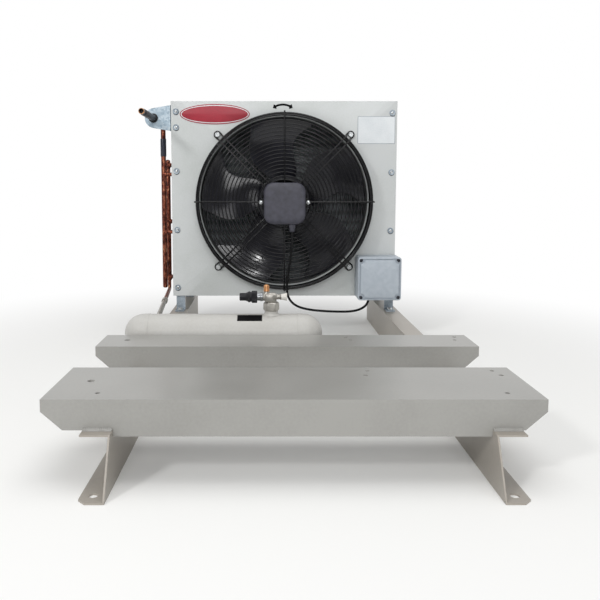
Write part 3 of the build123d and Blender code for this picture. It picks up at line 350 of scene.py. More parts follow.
def finStack():
    # Corrugated aluminium fins on copper tubes: upright lines of painted shade between the fins, and a painted
    # shadow band at every tube.
    # The real fins stand 2.1 mm apart, too fine to show, so they are drawn 4.2 mm apart.
    material, tree, shader, coords = startMaterial("aluminiumFins", {"Metallic": 0.6, "Roughness": 0.45})
    split = addNode(tree, "SeparateXYZ", links={0: coords})
    across = addNode(tree, "Math", {"operation": "MULTIPLY"}, {1: 2 * math.pi / (4.2 * mm)},
        {0: split.outputs["X"]})
    fin = addNode(tree, "Math", {"operation": "SINE"}, links={0: across})
    fromLow = addNode(tree, "Math", {"operation": "SUBTRACT"}, {1: coilLow * mm}, {0: split.outputs["Z"]})
    level = addNode(tree, "Math", {"operation": "MULTIPLY"}, {1: 2 * math.pi / (tubePitch * mm)}, {0: fromLow})
    band = addNode(tree, "Math", {"operation": "COSINE"}, links={0: level})
    # painted shade in the gaps between fins, and painted shadow at each tube level
    finGapShade = addNode(tree, "MapRange", values={1: -1, 2: 1, 3: 0.35, 4: 1}, links={0: fin})
    bandTone = addNode(tree, "MapRange", values={1: -1, 2: 0.4, 3: 0.62, 4: 1}, links={0: band})
    tone = addNode(tree, "Math", {"operation": "MULTIPLY"}, links={0: finGapShade, 1: bandTone})
    colour = addNode(tree, "ValToRGB", links={0: tone}, stops=[(0.1, "#26282C"), (1, "#A9ADB0")])
    tree.links.new(colour.outputs[0], shader.inputs["Base Color"])
    bump = addNode(tree, "Bump", values={"Strength": 0.5, "Distance": 0.001}, links={"Height": fin})
    tree.links.new(bump.outputs[0], shader.inputs["Normal"])
    return material


# Sprayed paints: even greys, light on casing and receiver, darker and glossier on rails and beams
casingPaint = sprayedPaint("greyPaintOnCasing", "#C2C5C5", "#B7BBB9", 0.42)
# The fan panel's paint carries painted shade inside its collar, from 378 to 384 mm deep
panelPaint = sprayedPaint("greyPaintOnFanPanel", "#C2C5C5", "#B7BBB9", 0.42, (378, 384))
railPaint = sprayedPaint("greyPaintOnRails", "#A39D94", "#989188", 0.38)
framePaint = sprayedPaint("greyPaintOnFrame", "#9C9B97", "#92918D", 0.3)
receiverPaint = sprayedPaint("greyPaintOnReceiver", "#BDBCB8", "#B4B2AD", 0.55)
# Bare metals: dipped zinc in frosty flakes, copper browned by the flame, steel greyed by brazing
zincSheet = hotDipZinc()
agedCopper = copperTube("agedCopper", [(0.38, "#26130F"), (0.46, "#613226"), (0.54, "#8A4B39"),
    (0.6, "#975D45"), (0.67, "#D8B084")], 0.42, 7)
brightCopper = copperTube("brightCopper", [(0.35, "#A86F45"), (0.65, "#C9976A")], 0.32, 15)
dullZinc = plainCoat("dullZincFeet", "#7A858F", "#AAB5BE", 0.42, 4, 0.2, metallic=0.4)
brazedSteel = copperTube("brazedSteel", [(0.4, "#77736C"), (0.65, "#A7A39A")], 0.35, 12)
# Dark coats: a narrow glint on the guard's powder coat and the blades, a broad one on pipe and motor
blueLacquer = plainCoat("blueBlackLacquer", "#191B26", "#2A2D3B", 0.3, 3, 0.1)
greyLacquer = plainCoat("greyBlackLacquer", "#15151B", "#26262E", 0.45, 3, 0.15)
guardPowder = plainCoat("glossBlackPowderCoat", "#040406", "#09090C", 0.2, 1.5, 0.1, specular=0.36)
rotorPaint = plainCoat("blackMotorPaint", "#18181C", "#26262B", 0.4, 1.5, 0.2)
bladePaint = plainCoat("blackBladePaint", "#121219", "#1E1E27", 0.2, 2, 0.08, coat=0.3)
# Moulded plastics and rubber: soft wide shine, broken up by a fine grain on the motor's cover
grainedPlastic = plainCoat("grainedBlackPlastic", "#33333C", "#44444F", 0.48, 0.9, 0.45, grainDepth=0.0003)
smoothRubber = plainCoat("smoothBlackRubber", "#08080A", "#121215", 0.42, 1.2, 0.15, specular=0.3)
cableSheath = plainCoat("pvcCableSheath", "#040406", "#0A0A0D", 0.35, 2, 0.1, specular=0.25)
boxPlastic = plainCoat("lightGreyAbs", "#A3ACB5", "#AEB6BE", 0.38, 0.8, 0.12)
capPlastic = plainCoat("ribbedBlackPlastic", "#101014", "#1F1F25", 0.38, 0.7, 0.2, specular=0.35)
milkyPlastic = plainCoat("milkyPolyethylene", "#CFCDC6", "#E4E2DD", 0.45, 1.2, 0.1)
terminalPlastic = plainCoat("ivoryTerminalPlastic", "#CFCABA", "#DEDACB", 0.5, 1.5, 0.1)
# Plated and turned metals: a blurred shine on the forging, a sharp one on zinc plate and turned steel
forgedNickel = plainCoat("nickelledForging", "#8F8C86", "#C0BDB6", 0.38, 1.6, 0.5, metallic=0.75)
brightZinc = plainCoat("brightZincPlate", "#B9BDBF", "#D9DCDD", 0.25, 1, 0.1, metallic=0.85)
turnedSteel = plainCoat("turnedSteel", "#8A8C8F", "#A5A7A9", 0.3, 1, 0.1, metallic=0.9)
darkRecess = plainCoat("darkScrewSteel", "#23242A", "#3B3D45", 0.4, 1, 0.2, metallic=0.6)
# Enamelled and printed plates: flat colours with hardly any grain
badgeEnamel = plainCoat("redEnamel", "#8E0F26", "#A0152D", 0.42, 4, 0.05)
plateWhite = plainCoat("whitePlateLacquer", "#CBD0D3", "#D8DCDE", 0.35, 3, 0.05)
plateLine = plainCoat("printedGreyLine", "#8A9098", "#9BA1A8", 0.4, 2, 0.05)
signBlack = plainCoat("printedBlack", "#020203", "#060608", 0.6, 2, 0.05, specular=0.1)
fins = finStack()
print("materials made")


# Base frame and casing sheets: bent steel, so their edges are round

bentSheets = [
    (("rail_left", "rail_right"), railPaint, "frame_paint", 0.9),
    (("front_beam", "rear_beam", "receiver_bracket"), framePaint, "frame_paint", 0.9),
    (("casing_top", "casing_bottom", "side_panel_left", "side_panel_right"), casingPaint, "casing_paint", 0.5),
    (("end_plate_left", "end_plate_right"), zincSheet, "galvanised", 0.5),
    (("casing_feet",), dullZinc, "galvanised", 0.6),
    (("cover_strap",), guardPowder, "guard_black", 0.5),
    (("receiver_saddles",), receiverPaint, "receiver_paint", 0.6),
]
for nodeNames, paint, slotName, edge in bentSheets:
    for nodeName in nodeNames:
        sheetCopy(nodeName, paint, edge)

weld = {"leg": 5, "ripple": 3.2, "railTop": 90, "faces": [(-610, -1), (-430, 1), (-275, -1), (-170, 1)],
    "spans": [(-329, -281), (319, 367)]}
beads = []
for faceY, way in weld["faces"]:
    for x0, x1 in weld["spans"]:
        # A bead: a quarter round in the corner, whose radius ripples along its length
        x = np.linspace(x0 + 1, x1 - 1, 60)
        radius = weld["leg"] * (0.86 + 0.14 * np.abs(np.sin(np.pi * x / weld["ripple"])))
        line = asPoints(x, faceY, weld["railTop"])
        grid = carried(line, 1, sides=16)
        grid[1:-1] = line[:, None] + (grid[1:-1] - line[:, None]) * radius[:, None, None]
        grid[..., 1] = np.maximum(way * (grid[..., 1] - faceY), 0) * way + faceY
        grid[..., 2] = np.maximum(grid[..., 2], weld["railTop"])
        beads.append(grid)
makePiece("weld_beads", beads, framePaint, ("beam_welds",), 50)
print("frame sheets done")


# Front panel: one sheet whose hole is drawn inwards to a collar

panel = {"halfWide": 340, "up": 300, "down": 290}


def aroundPanel(rows, angles, centreX, centreZ, reachAt):
    # Rows are (kind, size, depth): a circle of that radius, or the outline less that inset
    grid = []
    for kind, size, depth in rows:
        reach = np.full(len(angles), size) if kind == "circle" else reachAt(angles) - size
        grid.append(asPoints(centreX + reach * np.cos(angles), depth, centreZ + reach * np.sin(angles)))
    return np.stack(grid)


def panelReach(angles):
    # From the fan's axis to the sheet's outline: the nearer of its upright and its level edge
    c, s = np.cos(angles), np.sin(angles)
    wide = panel["halfWide"] / np.maximum(np.abs(c), 1e-9)
    high = np.where(s > 0, panel["up"], panel["down"]) / np.maximum(np.abs(s), 1e-9)
    return np.minimum(wide, high)


cornerAngles = [math.atan2(z, way * panel["halfWide"]) for way in (1, -1)
    for z in (panel["up"], -panel["down"])]
panelAngles = np.unique(np.round(np.concatenate([np.linspace(-np.pi, np.pi, 240, endpoint=False),
    cornerAngles]), 6))
panelRows = [("circle", 254, 435), ("circle", 254, 382), ("circle", 254.5, 378.9), ("circle", 256, 376.7),
    ("circle", 258, 375.4), ("circle", 260.5, panelY), ("circle", 263, panelY), ("edge", 1.2, panelY),
    ("edge", 0.35, panelY + 0.35), ("edge", 0, panelY + 1.2), ("edge", 0, 376.5), ("edge", 1.2, 376.5),
    ("circle", 263, 376.5), ("circle", 260.5, 376.6), ("circle", 257.5, 378), ("circle", 255.8, 380.5),
    ("circle", 255.5, 383), ("circle", 255.5, 435)]
panelGrid = aroundPanel(panelRows, panelAngles, fanX, fanZ, panelReach)
makePiece("fan_panel", [(panelGrid, True)], panelPaint, ("front_panel",), 30)

screwSpots = {
    "left": [31, 78, 208.7, 386.3, 564], "right": [35, 212, 389],
    "fromEdge": 15, "washerR": 9, "headR": 4.6,
}
washers, heads, washerShadows = [], [], []
for side, x in (("left", casingLeft + screwSpots["fromEdge"]), ("right", casingRight - screwSpots["fromEdge"])):
    for drop in screwSpots[side]:
        spot = (x, panelY, casingHigh - drop)
        r, h = screwSpots["washerR"], screwSpots["headR"]
        # painted shadow: a dark disc, set 1.6 mm low behind each washer, stands in for its shadow on the panel
        washerShadows.append(turned([(0, 0), (0, r), (0.7, r), (0.7, 0)], (x + 0.4, panelY, spot[2] - 1.6), toFront, 32))
        washers.append(turned([(0, 0), (0, r), (1.2, r), (1.9, r - 0.9), (1.4, h + 0.6), (1.4, 0)], spot,
            toFront, 32))
        heads.append(turned([(1.2, 0), (1.2, h), (2.2, h), (3.2, h * 0.75), (3.6, h * 0.4), (2.4, h * 0.3),
            (2.4, 0)], spot, toFront, 24))
makePiece("panel_washers", washers, dullZinc)
makePiece("panel_washer_shadows", washerShadows, smoothRubber)  # painted shadow: dark discs set low behind each washer show as its shadow's dark edge below it
makePiece("panel_screw_heads", heads, brightZinc, ("panel_screws",))

# The double-headed turning arrow above the fan: a band along an arc, which swells to a head at each end
arrow = {"midX": 11, "midZ": 668, "radius": 46.5, "half": 3, "spread": 39, "headHalf": 8, "thick": 0.3}
angle = np.radians(np.linspace(90 + arrow["spread"], 90 - arrow["spread"], 25))
width = np.full(25, float(arrow["half"]))
width[:5] = np.array([0.05, 0.35, 0.7, 1, 0]) * arrow["headHalf"]
width[-5:] = width[:5][::-1]
width[4] = width[-5] = arrow["half"]
outer = asPoints(arrow["midX"] + (arrow["radius"] + width) * np.cos(angle),
    arrow["midZ"] + (arrow["radius"] + width) * np.sin(angle))
inner = asPoints(arrow["midX"] + (arrow["radius"] - width) * np.cos(angle),
    arrow["midZ"] + (arrow["radius"] - width) * np.sin(angle))
y0, y1 = panelY - arrow["thick"], panelY - 0.02
band = [asPoints(p[:, 0], y, p[:, 1]) for p, y in ((outer, y0), (inner, y0), (inner, y1), (outer, y1))]
arrowGrid = np.stack(band, axis=1)
makePiece("turning_arrow", [capped(arrowGrid)], signBlack, sharpAngle=40)

# The oval badge: three plain ovals, each a little smaller than the one behind it
badge = {"midX": -193, "midZ": 686, "halfX": 105, "halfZ": 30, "thick": 1.4, "rim": 3, "line": 2.4}


def badgeOval(name, y, thick, inset, material):
    # Ellipses one in front of the other, less an inset, shrunk to a point at the back and the front
    angle, toPole = allRound(96), badge["halfX"]
    rows = []
    for depth, less in ((y, toPole), (y, 0), (y - thick * 0.7, 0), (y - thick, 0.5), (y - thick, toPole)):
        halfX, halfZ = (max(badge[half] - inset - less, 0) for half in ("halfX", "halfZ"))
        rows.append(asPoints(badge["midX"] + halfX * np.cos(angle), depth,
            badge["midZ"] + halfZ * np.sin(angle)))
    makePiece(name, [np.stack(rows)], material)


badgeFace = panelY - badge["thick"]
badgeOval("badge_plate", panelY, badge["thick"], 0, badgeEnamel)
badgeOval("badge_line", badgeFace + 0.1, 0.4, badge["rim"], plateWhite)
badgeOval("badge_field", badgeFace - 0.1, 0.5, badge["rim"] + badge["line"], badgeEnamel)


# The type plate: a plain white plate on a grey one that shows as its edge
typePlate = {"midX": 292.5, "midZ": 639, "halfX": 56.5, "halfZ": 41, "thick": 0.3, "edge": 1.6}


def flatPlate(name, inset, y, corner, material):
    # A square with round corners, drawn out sideways, shrunk to a point at the back and the front
    halfX, halfZ = typePlate["halfX"] - inset, typePlate["halfZ"] - inset
    loop = squareLoop(halfZ, corner)
    loop = loop + np.sign(loop[:, :1]) * np.array([[halfX - halfZ, 0]])
    front = y - typePlate["thick"]
    rows = []
    for depth, scale in ((y, 0), (y, 1), (front, 1), (front, 0)):
        rows.append(asPoints(typePlate["midX"] + loop[:, 0] * scale, depth,
            typePlate["midZ"] + loop[:, 1] * scale))
    makePiece(name, [np.stack(rows)], material)


flatPlate("type_plate_edge", 0, panelY - 0.02, 3, plateLine)
flatPlate("type_plate", typePlate["edge"], panelY - 0.2, 2, plateWhite)
print("panel done")


# Fan guard: drawn steel wire, welded

wire = {"r": 1.7, "outerR": 2.2, "hoopR": 3, "firstR": 55.5, "pitch": 10.8, "count": 18, "shoulderR": 253.5,
    "sideR": 259.5, "sideY": [319.5, 331.5, 343.5, 355.5, 367.5]}


def wireRing(radius, y, r=wire["r"], sides=8):
    # A round wire carried along a circle about the fan's axis
    angle = allRound(128)
    path = asPoints(fanX + radius * np.cos(angle), y, fanZ + radius * np.sin(angle))
    return carried(path, r, sides, closed=True, start=np.array([0, 1, 0]))


def onFan(points, turn):
    # Points given as (outwards, sideways, depth), turned round the fan's axis
    points = np.asarray(points, float)
    a = math.radians(turn)
    x = fanX + points[:, 0] * math.cos(a) - points[:, 1] * math.sin(a)
    z = fanZ + points[:, 0] * math.sin(a) + points[:, 1] * math.cos(a)
    return asPoints(x, points[:, 2], z)


radii = [wire["firstR"] + wire["pitch"] * i for i in range(wire["count"])] + [wire["shoulderR"]]
rings = [(wireRing(r, ringY), True) for r in radii[:-1]] + [(wireRing(radii[-1], ringY, wire["outerR"]), True)]
makePiece("guard_rings", rings, guardPowder, ("guard_front_rings",), 60)
makePiece("guard_hoops", [(wireRing(wire["sideR"], y, wire["hoopR"]), True) for y in wire["sideY"]],
    guardPowder, ("guard_side_rings",), 60)
spokes = []
spoke = {"r": 2.5, "end": 368.5, "inner": 40, "leg": 264.5, "bend": 10, "gap": 8, "eyeAt": 282.8, "eyeR": 9.5,
    "panelY": 372.4}
for i in range(4):
    face = spokeY
    path = rounded([(spoke["inner"], 0, face), (spoke["leg"], 0, face), (spoke["leg"], 0, spoke["end"])],
        spoke["bend"])
    spokes.append(carried(onFan(path, 90 * i), spoke["r"], 12))
    loop = np.radians(np.linspace(-100, 100, 15))
    eye = [(spoke["eyeAt"] + spoke["eyeR"] * math.cos(a), spoke["eyeR"] * math.sin(a), spoke["panelY"])
        for a in loop]
    out = [(spoke["inner"], -spoke["gap"], face), (spoke["leg"], -spoke["gap"], face),
        (spoke["leg"], -spoke["gap"], spoke["panelY"])]
    back = [(x, -y, z) for x, y, z in reversed(out)]
    path = rounded(out + eye + back, spoke["bend"])
    spokes.append(carried(onFan(path, 45 + 90 * i), spoke["r"], 12))
makePiece("guard_spoke_wires", spokes, guardPowder, ("guard_spokes",), 60)
hubAt = (fanX, 0, fanZ)
hubDisc = {"front": 308, "back": 311, "r": 52, "bore": 15, "edge": 0.6}
front, back, r, edge = (hubDisc[key] for key in ("front", "back", "r", "edge"))
hubProfile = [(front, hubDisc["bore"]), (front, r - edge), (front + edge, r), (back - edge, r),
    (back, r - edge), (back, hubDisc["bore"])]
makePiece("guard_hub_disc", [(turned(hubProfile, hubAt, toBack, 72), True)], guardPowder,
    ("guard_hub_plate",))
eyeScrew = {"out": 200, "y": 370, "halfAcross": 6.5,
    "washer": [(-5, 0), (-5, 5), (0, 5), (0, 7.8), (0.8, 7.8), (1.8, 7), (1.8, 0)],
    "head": [(1.5, 0), (1.5, 9), (6.4, 9), (7.4, 6.4), (7.4, 4.5), (6.8, 3.8), (6.8, 0)]}
eyeScrews = []
for i in (-1, 1):
    for j in (-1, 1):
        spot = (fanX + eyeScrew["out"] * i, eyeScrew["y"], fanZ + eyeScrew["out"] * j)
        eyeScrews.append(turned(eyeScrew["washer"], spot, toFront, 36))
        eyeScrews.append(hexTurned(eyeScrew["head"], spot, toFront, eyeScrew["halfAcross"], 20 * i))
makePiece("guard_eye_screws", eyeScrews, brightZinc, ("guard_screws",))
print("guard done")


# Fan: sickle blades on the motor's turning can

blade = {
    "stations": [72, 105.8, 155.7, 208.2, 250], "lead": [-8, -3, 8, 6, -3], "trail": [50, 55, 57, 49, 43],
    "count": 5, "firstAngle": 143, "front": 364, "depth": 60, "sheet": 2.5, "camber": 9,
}


def bladeGrid(start):
    # Across each radius the depth falls evenly from the leading edge at the back to the trailing edge in
    # panelY, plus a parabola of camber. Both skins stand half the sheet off it and close round its edges.
    radius = np.linspace(blade["stations"][0], blade["stations"][-1], 30)
    lead = np.polyval(np.polyfit(blade["stations"], blade["lead"], 4), radius)
    trail = np.polyval(np.polyfit(blade["stations"], blade["trail"], 4), radius)
    nearTip = np.clip((radius - 238) / 12, 0, 1)[:, None]
    s = 0.5 - 0.5 * np.cos(np.linspace(0, np.pi, 22))
    s = 0.5 + (s[None, :] - 0.5) * (1 - 0.07 * nearTip ** 3)
    angle = np.radians(start + lead[:, None] + (trail - lead)[:, None] * s)
    deep = blade["sheet"] + (blade["depth"] - 2 * blade["sheet"]) * (1 - s) + 4 * blade["camber"] * s * (1 - s)
    edge = np.linspace(-1, 1, 22)[None, :] ** 8
    half = blade["sheet"] / 2 * np.sqrt(np.clip(1 - edge, 0, 1)) * np.ones_like(s)
    skins = []
    for sign in (-1, 1):
        skins.append(asPoints(fanX + radius[:, None] * np.cos(angle), blade["front"] + deep + sign * half,
            fanZ + radius[:, None] * np.sin(angle)))
    grid = np.concatenate([skins[0], skins[1][:, ::-1]], axis=1)
    middle = (skins[0] + skins[1]) / 2
    middle = np.concatenate([middle, middle[:, ::-1]], axis=1)
    return np.concatenate([middle[:1], grid, middle[-1:]])


wheel = [bladeGrid(blade["firstAngle"] + 72 * i) for i in range(blade["count"])]
ringProfile = [(364, 69.8), (364, 76.6), (365, 77.6), (423, 77.6), (424, 76.6), (424, 69.8)]
wheel.append((turned(ringProfile, hubAt, toBack, 96), True))
makePiece("fan_wheel", wheel, bladePaint, ("fan_blades",), 45, body=fan)
canProfile = [(409, 0), (409, 64.5), (326, 64.5), (326, 68.3), (327.2, 69.5), (411.5, 69.5), (414, 67),
    (414, 30), (412.5, 28), (412.5, 0)]
makePiece("motor_can", [turned(canProfile, hubAt, toBack, 96)], rotorPaint, ("rotor_can",),
    body=fan)

cover = {"half": 61, "corner": 29, "x": 15, "z": 421}
coverRows = [(300, 90), (300, 1), (299, 0.3), (297, 0), (280, 0.6), (276, 1.4), (273.6, 3), (272.2, 5.2),
    (271.4, 8), (271, 11), (270.5, 20), (270.2, 32), (270.05, 45), (270, 90)]
makePiece("motor_cover_shell", [squareStack(coverRows, cover["half"], cover["corner"], cover["x"], cover["z"],
    12)], grainedPlastic, ("motor_cover",), 40)
strapBolt = {"x": (-54, 84), "y": 300, "z": 424,
    "washer": [(0, 0), (0, 5.6), (1, 5.6), (1.4, 5), (1.4, 0)],
    "head": [(1, 0), (1, 4.4), (3.2, 4.3), (4.6, 3), (5, 1), (4, 0.6), (4, 0)]}
strapBolts = []
for x in strapBolt["x"]:
    for part in ("washer", "head"):
        strapBolts.append(turned(strapBolt[part], (x, strapBolt["y"], strapBolt["z"]), toFront, 32))
makePiece("strap_bolts", strapBolts, brightZinc)
gland = {"x": 37, "y": 286.5, "top": 360.5}
glandAt = (gland["x"], gland["y"], gland["top"])
glandGrids = [
    hexTurned([(0, 0), (0, 10.4), (9, 10.4), (10.5, 9.2), (10.5, 0)], glandAt, downward, 9),
    turned([(10.4, 0), (10.4, 8.4), (12, 8.6), (17, 8.3), (20, 7), (22, 5), (22, 0)], glandAt, downward, 36),
]
makePiece("motor_cable_gland", glandGrids, grainedPlastic, ("motor_gland",))
print("fan and motor done")


# Fan cable: the same route as the solid's, in metres, as one smooth spline

cable = {
    "radius": 0.0035, "length": 0.4757,
    "route": [(0.037, 0.2865, 0.338), (0.037, 0.2865, 0.304), (0.032, 0.2925, 0.256), (0.0255, 0.298, 0.21),
        (0.0215, 0.2993, 0.168), (0.0275, 0.3005, 0.138), (0.05, 0.3045, 0.1155), (0.088, 0.31, 0.104),
        (0.134, 0.316, 0.0985), (0.178, 0.323, 0.0955), (0.211, 0.329, 0.0945), (0.237, 0.334, 0.0975),
        (0.2565, 0.338, 0.1055), (0.268, 0.341, 0.117), (0.272, 0.342, 0.1305)],
}
curve = bpy.data.curves.new("fan_cable_line", "CURVE")
curve.dimensions = "3D"
curve.bevel_depth = cable["radius"]
curve.bevel_resolution = 4
curve.use_fill_caps = True
line = curve.splines.new("NURBS")
line.points.add(len(cable["route"]) - 1)
for point, spot in zip(line.points, cable["route"]):
    point.co = (*spot, 1)
line.order_u = 3
line.use_endpoint_u = True
line.resolution_u = 8
cablePiece = addObject("fan_cable_sheath", curve)
curve.materials.append(cableSheath)
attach(cablePiece, chassis)
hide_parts("fan_cable")

tie = {"z": 168, "x0": 11.2, "x1": 27.2, "y0": 293.6, "y1": 309.4}
tieMid = ((tie["x0"] + tie["x1"]) / 2, (tie["y0"] + tie["y1"]) / 2)
tieRows = []
for z, grow in ((-2, 0), (-2, 1.2), (2, 1.2), (2, 0)):
    loop = squareLoop(1, 0.5, 6) * np.array([(tie["x1"] - tie["x0"]) / 2 + grow,
        (tie["y1"] - tie["y0"]) / 2 + grow])
    tieRows.append(asPoints(tieMid[0] + loop[:, 0], tieMid[1] + loop[:, 1], tie["z"] + z))
tieHead = squareStack([(291.4, 20), (291.4, 0.4), (292, 0), (296, 0), (296, 20)], 3.4, 0.8, 19, 168, 4)
makePiece("cable_tie_strap", [(np.stack(tieRows), True), tieHead], smoothRubber, ("cable_tie",))
print("cable done")


# Junction box: moulded base and lid with four screws in their wells

box = {"x": 298, "z": 197, "half": 65, "corner": 9}
baseRows = [(375, 90), (375, 0.3), (374.5, 0), (323.6, 0.8), (322.2, 1.6), (322.2, 90)]
lidRows = [(322.2, 90), (322.2, 2), (321.4, 0.6), (320.4, 0), (310, 0.2), (307.5, 0.9), (306.2, 2.2),
    (305.3, 3.4), (305.2, 4.6), (309.2, 5), (309.2, 90)]
makePiece("box_base", [squareStack(baseRows, box["half"], box["corner"], box["x"], box["z"])], boxPlastic,
    ("junction_box",))
makePiece("box_lid", [squareStack(lidRows, box["half"], box["corner"], box["x"], box["z"])], boxPlastic,
    ("junction_box_lid",), 28)
# The lid's middle stands up a little, cut away by a circle round each screw
field = {"half": 56.2, "cutAt": 56, "cutR": 12}


def fieldReach(angles):
    # From the lid's middle to the square's edge, or to the near side of the circle round a screw
    c, s = np.abs(np.cos(angles)), np.abs(np.sin(angles))
    square = field["half"] / np.maximum(c, s)
    off = field["cutAt"] * (c - s)
    bite = field["cutAt"] * (c + s) - np.sqrt(np.maximum(field["cutR"] ** 2 - off ** 2, 0))
    return np.where(np.abs(off) < field["cutR"], np.minimum(square, bite), square)


fieldAngles = np.linspace(-np.pi, np.pi, 192, endpoint=False)
fieldRows = [("circle", 0, 309.4), ("edge", 0, 309.4), ("edge", 0, 305.4), ("edge", 0.4, 305),
    ("edge", 1.2, 304.8), ("circle", 0, 304.8)]
makePiece("box_lid_field", [aroundPanel(fieldRows, fieldAngles, box["x"], box["z"], fieldReach)], boxPlastic,
    sharpAngle=40)
wells, lidScrews = [], []
for i in (-1, 1):
    for j in (-1, 1):
        spot = (box["x"] + i * field["cutAt"], 305, box["z"] + j * field["cutAt"])
        wells.append(turned([(-4.4, 0), (-4.4, 8), (-2, 7.6), (-1.4, 7), (-2, 6.2), (-2.6, 6), (-2.6, 0)], spot,
            toFront, 36))
        lidScrews.append(turned([(-3, 0), (-3, 5.6), (-0.9, 5.4), (-0.2, 4.4), (0, 2), (-1.2, 1.5), (-1.2, 0)],
            spot, toFront, 24))
makePiece("box_screw_wells", wells, boxPlastic)
makePiece("box_screw_heads", lidScrews, darkRecess, ("junction_box_screws",))
makePiece("box_cable_entry", [turned([(0, 0), (0, 8), (2.5, 8), (4, 7), (5, 5.2), (5, 0)], (272, 342, 132),
    downward, 36)], smoothRubber, ("junction_box_grommet",))
print("junction box done")


# Coil: tubes, bends and headers

def tubeY(row):  # half a pitch in, then one pitch for each row
    return coilFront + rowPitch * (row + 0.5)


def tubeZ(tube):  # half a pitch up, then one pitch for each tube
    return coilLow + tubePitch * (tube + 0.5)


bend = {"tubeR": 6.35, "leg": 4, "sides": 14, "rightX": 325.5}
circuits = {"count": 3, "rows": 3, "tubes": 6}


def returnBend(x, way, row0, tube0, row1, tube1):
    # A half circle between two tube ends, with a short straight leg at each
    y0, z0, y1, z1 = tubeY(row0), tubeZ(tube0), tubeY(row1), tubeZ(tube1)
    middle = np.array([x, (y0 + y1) / 2, (z0 + z1) / 2])
    along = np.array([0, y1 - y0, z1 - z0]) / 2
    out = np.array([way, 0, 0])
    a = np.linspace(-np.pi / 2, np.pi / 2, 13)[:, None]
    arc = middle + out * bend["leg"] + out * np.linalg.norm(along) * np.cos(a) + along * np.sin(a)
    path = np.concatenate([(middle - along)[None], arc, (middle + along)[None]])
    return carried(path, bend["tubeR"], bend["sides"], start=np.cross(out, unit(along)))


leftBends, rightBends = [], []
for circuit in range(circuits["count"]):
    first = circuits["tubes"] * circuit
    last = first + circuits["tubes"] - 1
    for row in range(circuits["rows"]):
        for tube in (first + 1, first + 3):
            leftBends.append(returnBend(casingLeft, -1, row, tube, row, tube + 1))
        for tube in (first, first + 2, first + 4):
            rightBends.append(returnBend(bend["rightX"], 1, row, tube, row, tube + 1))
    for row, level in ((0, first), (1, last)):
        leftBends.append(returnBend(casingLeft, -1, row, level, row + 1, level))
makePiece("left_return_bends", leftBends, agedCopper, ("return_bends_left",), 50)
makePiece("right_return_bends", rightBends, agedCopper, ("return_bends_right",), 50)


def headerGrids(x, y, low, high, levels):
    # An upright pipe with domed ends, and stubs with a brazed ring at their root
    dome = [(0, 0), (0.8, 4), (2.6, 6.8), (5, 8), (high - low - 5, 8), (high - low - 2.6, 6.8),
        (high - low - 0.8, 4), (high - low, 0)]
    grids = [turned(dome, (x, y, low), upward, 32)]
    for z in levels:
        stub = [(0, 0), (0, 8.6), (8.6, 8.6), (10.5, 6.6), (12, 6.35), (casingLeft - x - 4, 6.35),
            (casingLeft - x - 2, 7.2), (casingLeft - x, 7.6), (casingLeft - x, 0)]
        grids.append(turned(stub, (x, y, z), toRight, 24))
    return grids


headers = [
    {"name": "hot_gas_header", "node": "gas_header", "x": gasX, "row": 0, "ends": (130, 712),
        "tubes": (5, 11, 17)},
    {"name": "liquid_header_pipe", "node": "liquid_header", "x": liquidX, "row": 2, "ends": (145, 560),
        "tubes": (0, 6, 12)},
]
for header in headers:
    levels = [tubeZ(tube) for tube in header["tubes"]]
    makePiece(header["name"], headerGrids(header["x"], tubeY(header["row"]), *header["ends"], levels),
        agedCopper, (header["node"],), 40)
sleeve = {"low": 568, "high": 626, "r": 9.5, "bore": 8.05, "round": 1.5}
low, high, r = sleeve["low"], sleeve["high"], sleeve["r"]
sleeveProfile = [(low, sleeve["bore"]), (low, r - 0.5), (low + sleeve["round"], r), (high - sleeve["round"], r),
    (high, r - 0.5), (high, sleeve["bore"])]
makePiece("hot_gas_sleeve", [(turned(sleeveProfile, (gasX, tubeY(0), 0), upward, 36), True)], blueLacquer,
    ("gas_sleeve",))
inletProfile = [(206, 0), (206, 7), (188.6, 7), (188, 7.4), (188.3, 8), (214, 8), (215, 9), (216.5, 9.5),
    (398.5, 9.5), (400, 8.6), (400, 8), (554.5, 8), (554.5, 0)]
makePiece("hot_gas_inlet", [turned(inletProfile, (gasX, 0, inletZ), toBack, 40)], greyLacquer,
    ("gas_inlet_pipe",))
rimProfile = [(187.9, 6.8), (187.7, 7.5), (188.2, 8.15), (193.5, 8.15), (194.2, 7.9), (190, 6.8)]
makePiece("inlet_rim", [(turned(rimProfile, (gasX, 0, inletZ), toBack, 40), True)], brightCopper)

# The tab: a rounded plate round the pipe, with a flange along the casing's side
tab = {"noseX": -374, "noseR": 29.9, "half": 38.5}


def tabReach(angles):
    # The hull of the nose circle and the root edge, as the distance from the pipe's axis to it
    samples = np.linspace(np.pi * 0.56, np.pi * 1.44, 60)
    nose = asPoints(tab["noseX"] + tab["noseR"] * np.cos(samples), tab["noseR"] * np.sin(samples))
    outline = np.concatenate([[[casingLeft, -tab["half"]], [casingLeft, tab["half"]]], nose])
    outline[:, 0] -= gasX
    a, b = outline, np.roll(outline, -1, axis=0)
    way = asPoints(np.cos(angles), np.sin(angles))
    edge = b - a
    cross = way[:, None, 0] * edge[None, :, 1] - way[:, None, 1] * edge[None, :, 0]
    cross = np.where(np.abs(cross) < 1e-9, 1e-9, cross)
    far = (a[None, :, 0] * edge[None, :, 1] - a[None, :, 1] * edge[None, :, 0]) / cross
    share = (a[None, :, 0] * way[:, None, 1] - a[None, :, 1] * way[:, None, 0]) / cross
    return np.where((far > 0) & (share >= -1e-6) & (share <= 1 + 1e-6), far, 1e9).min(axis=1)


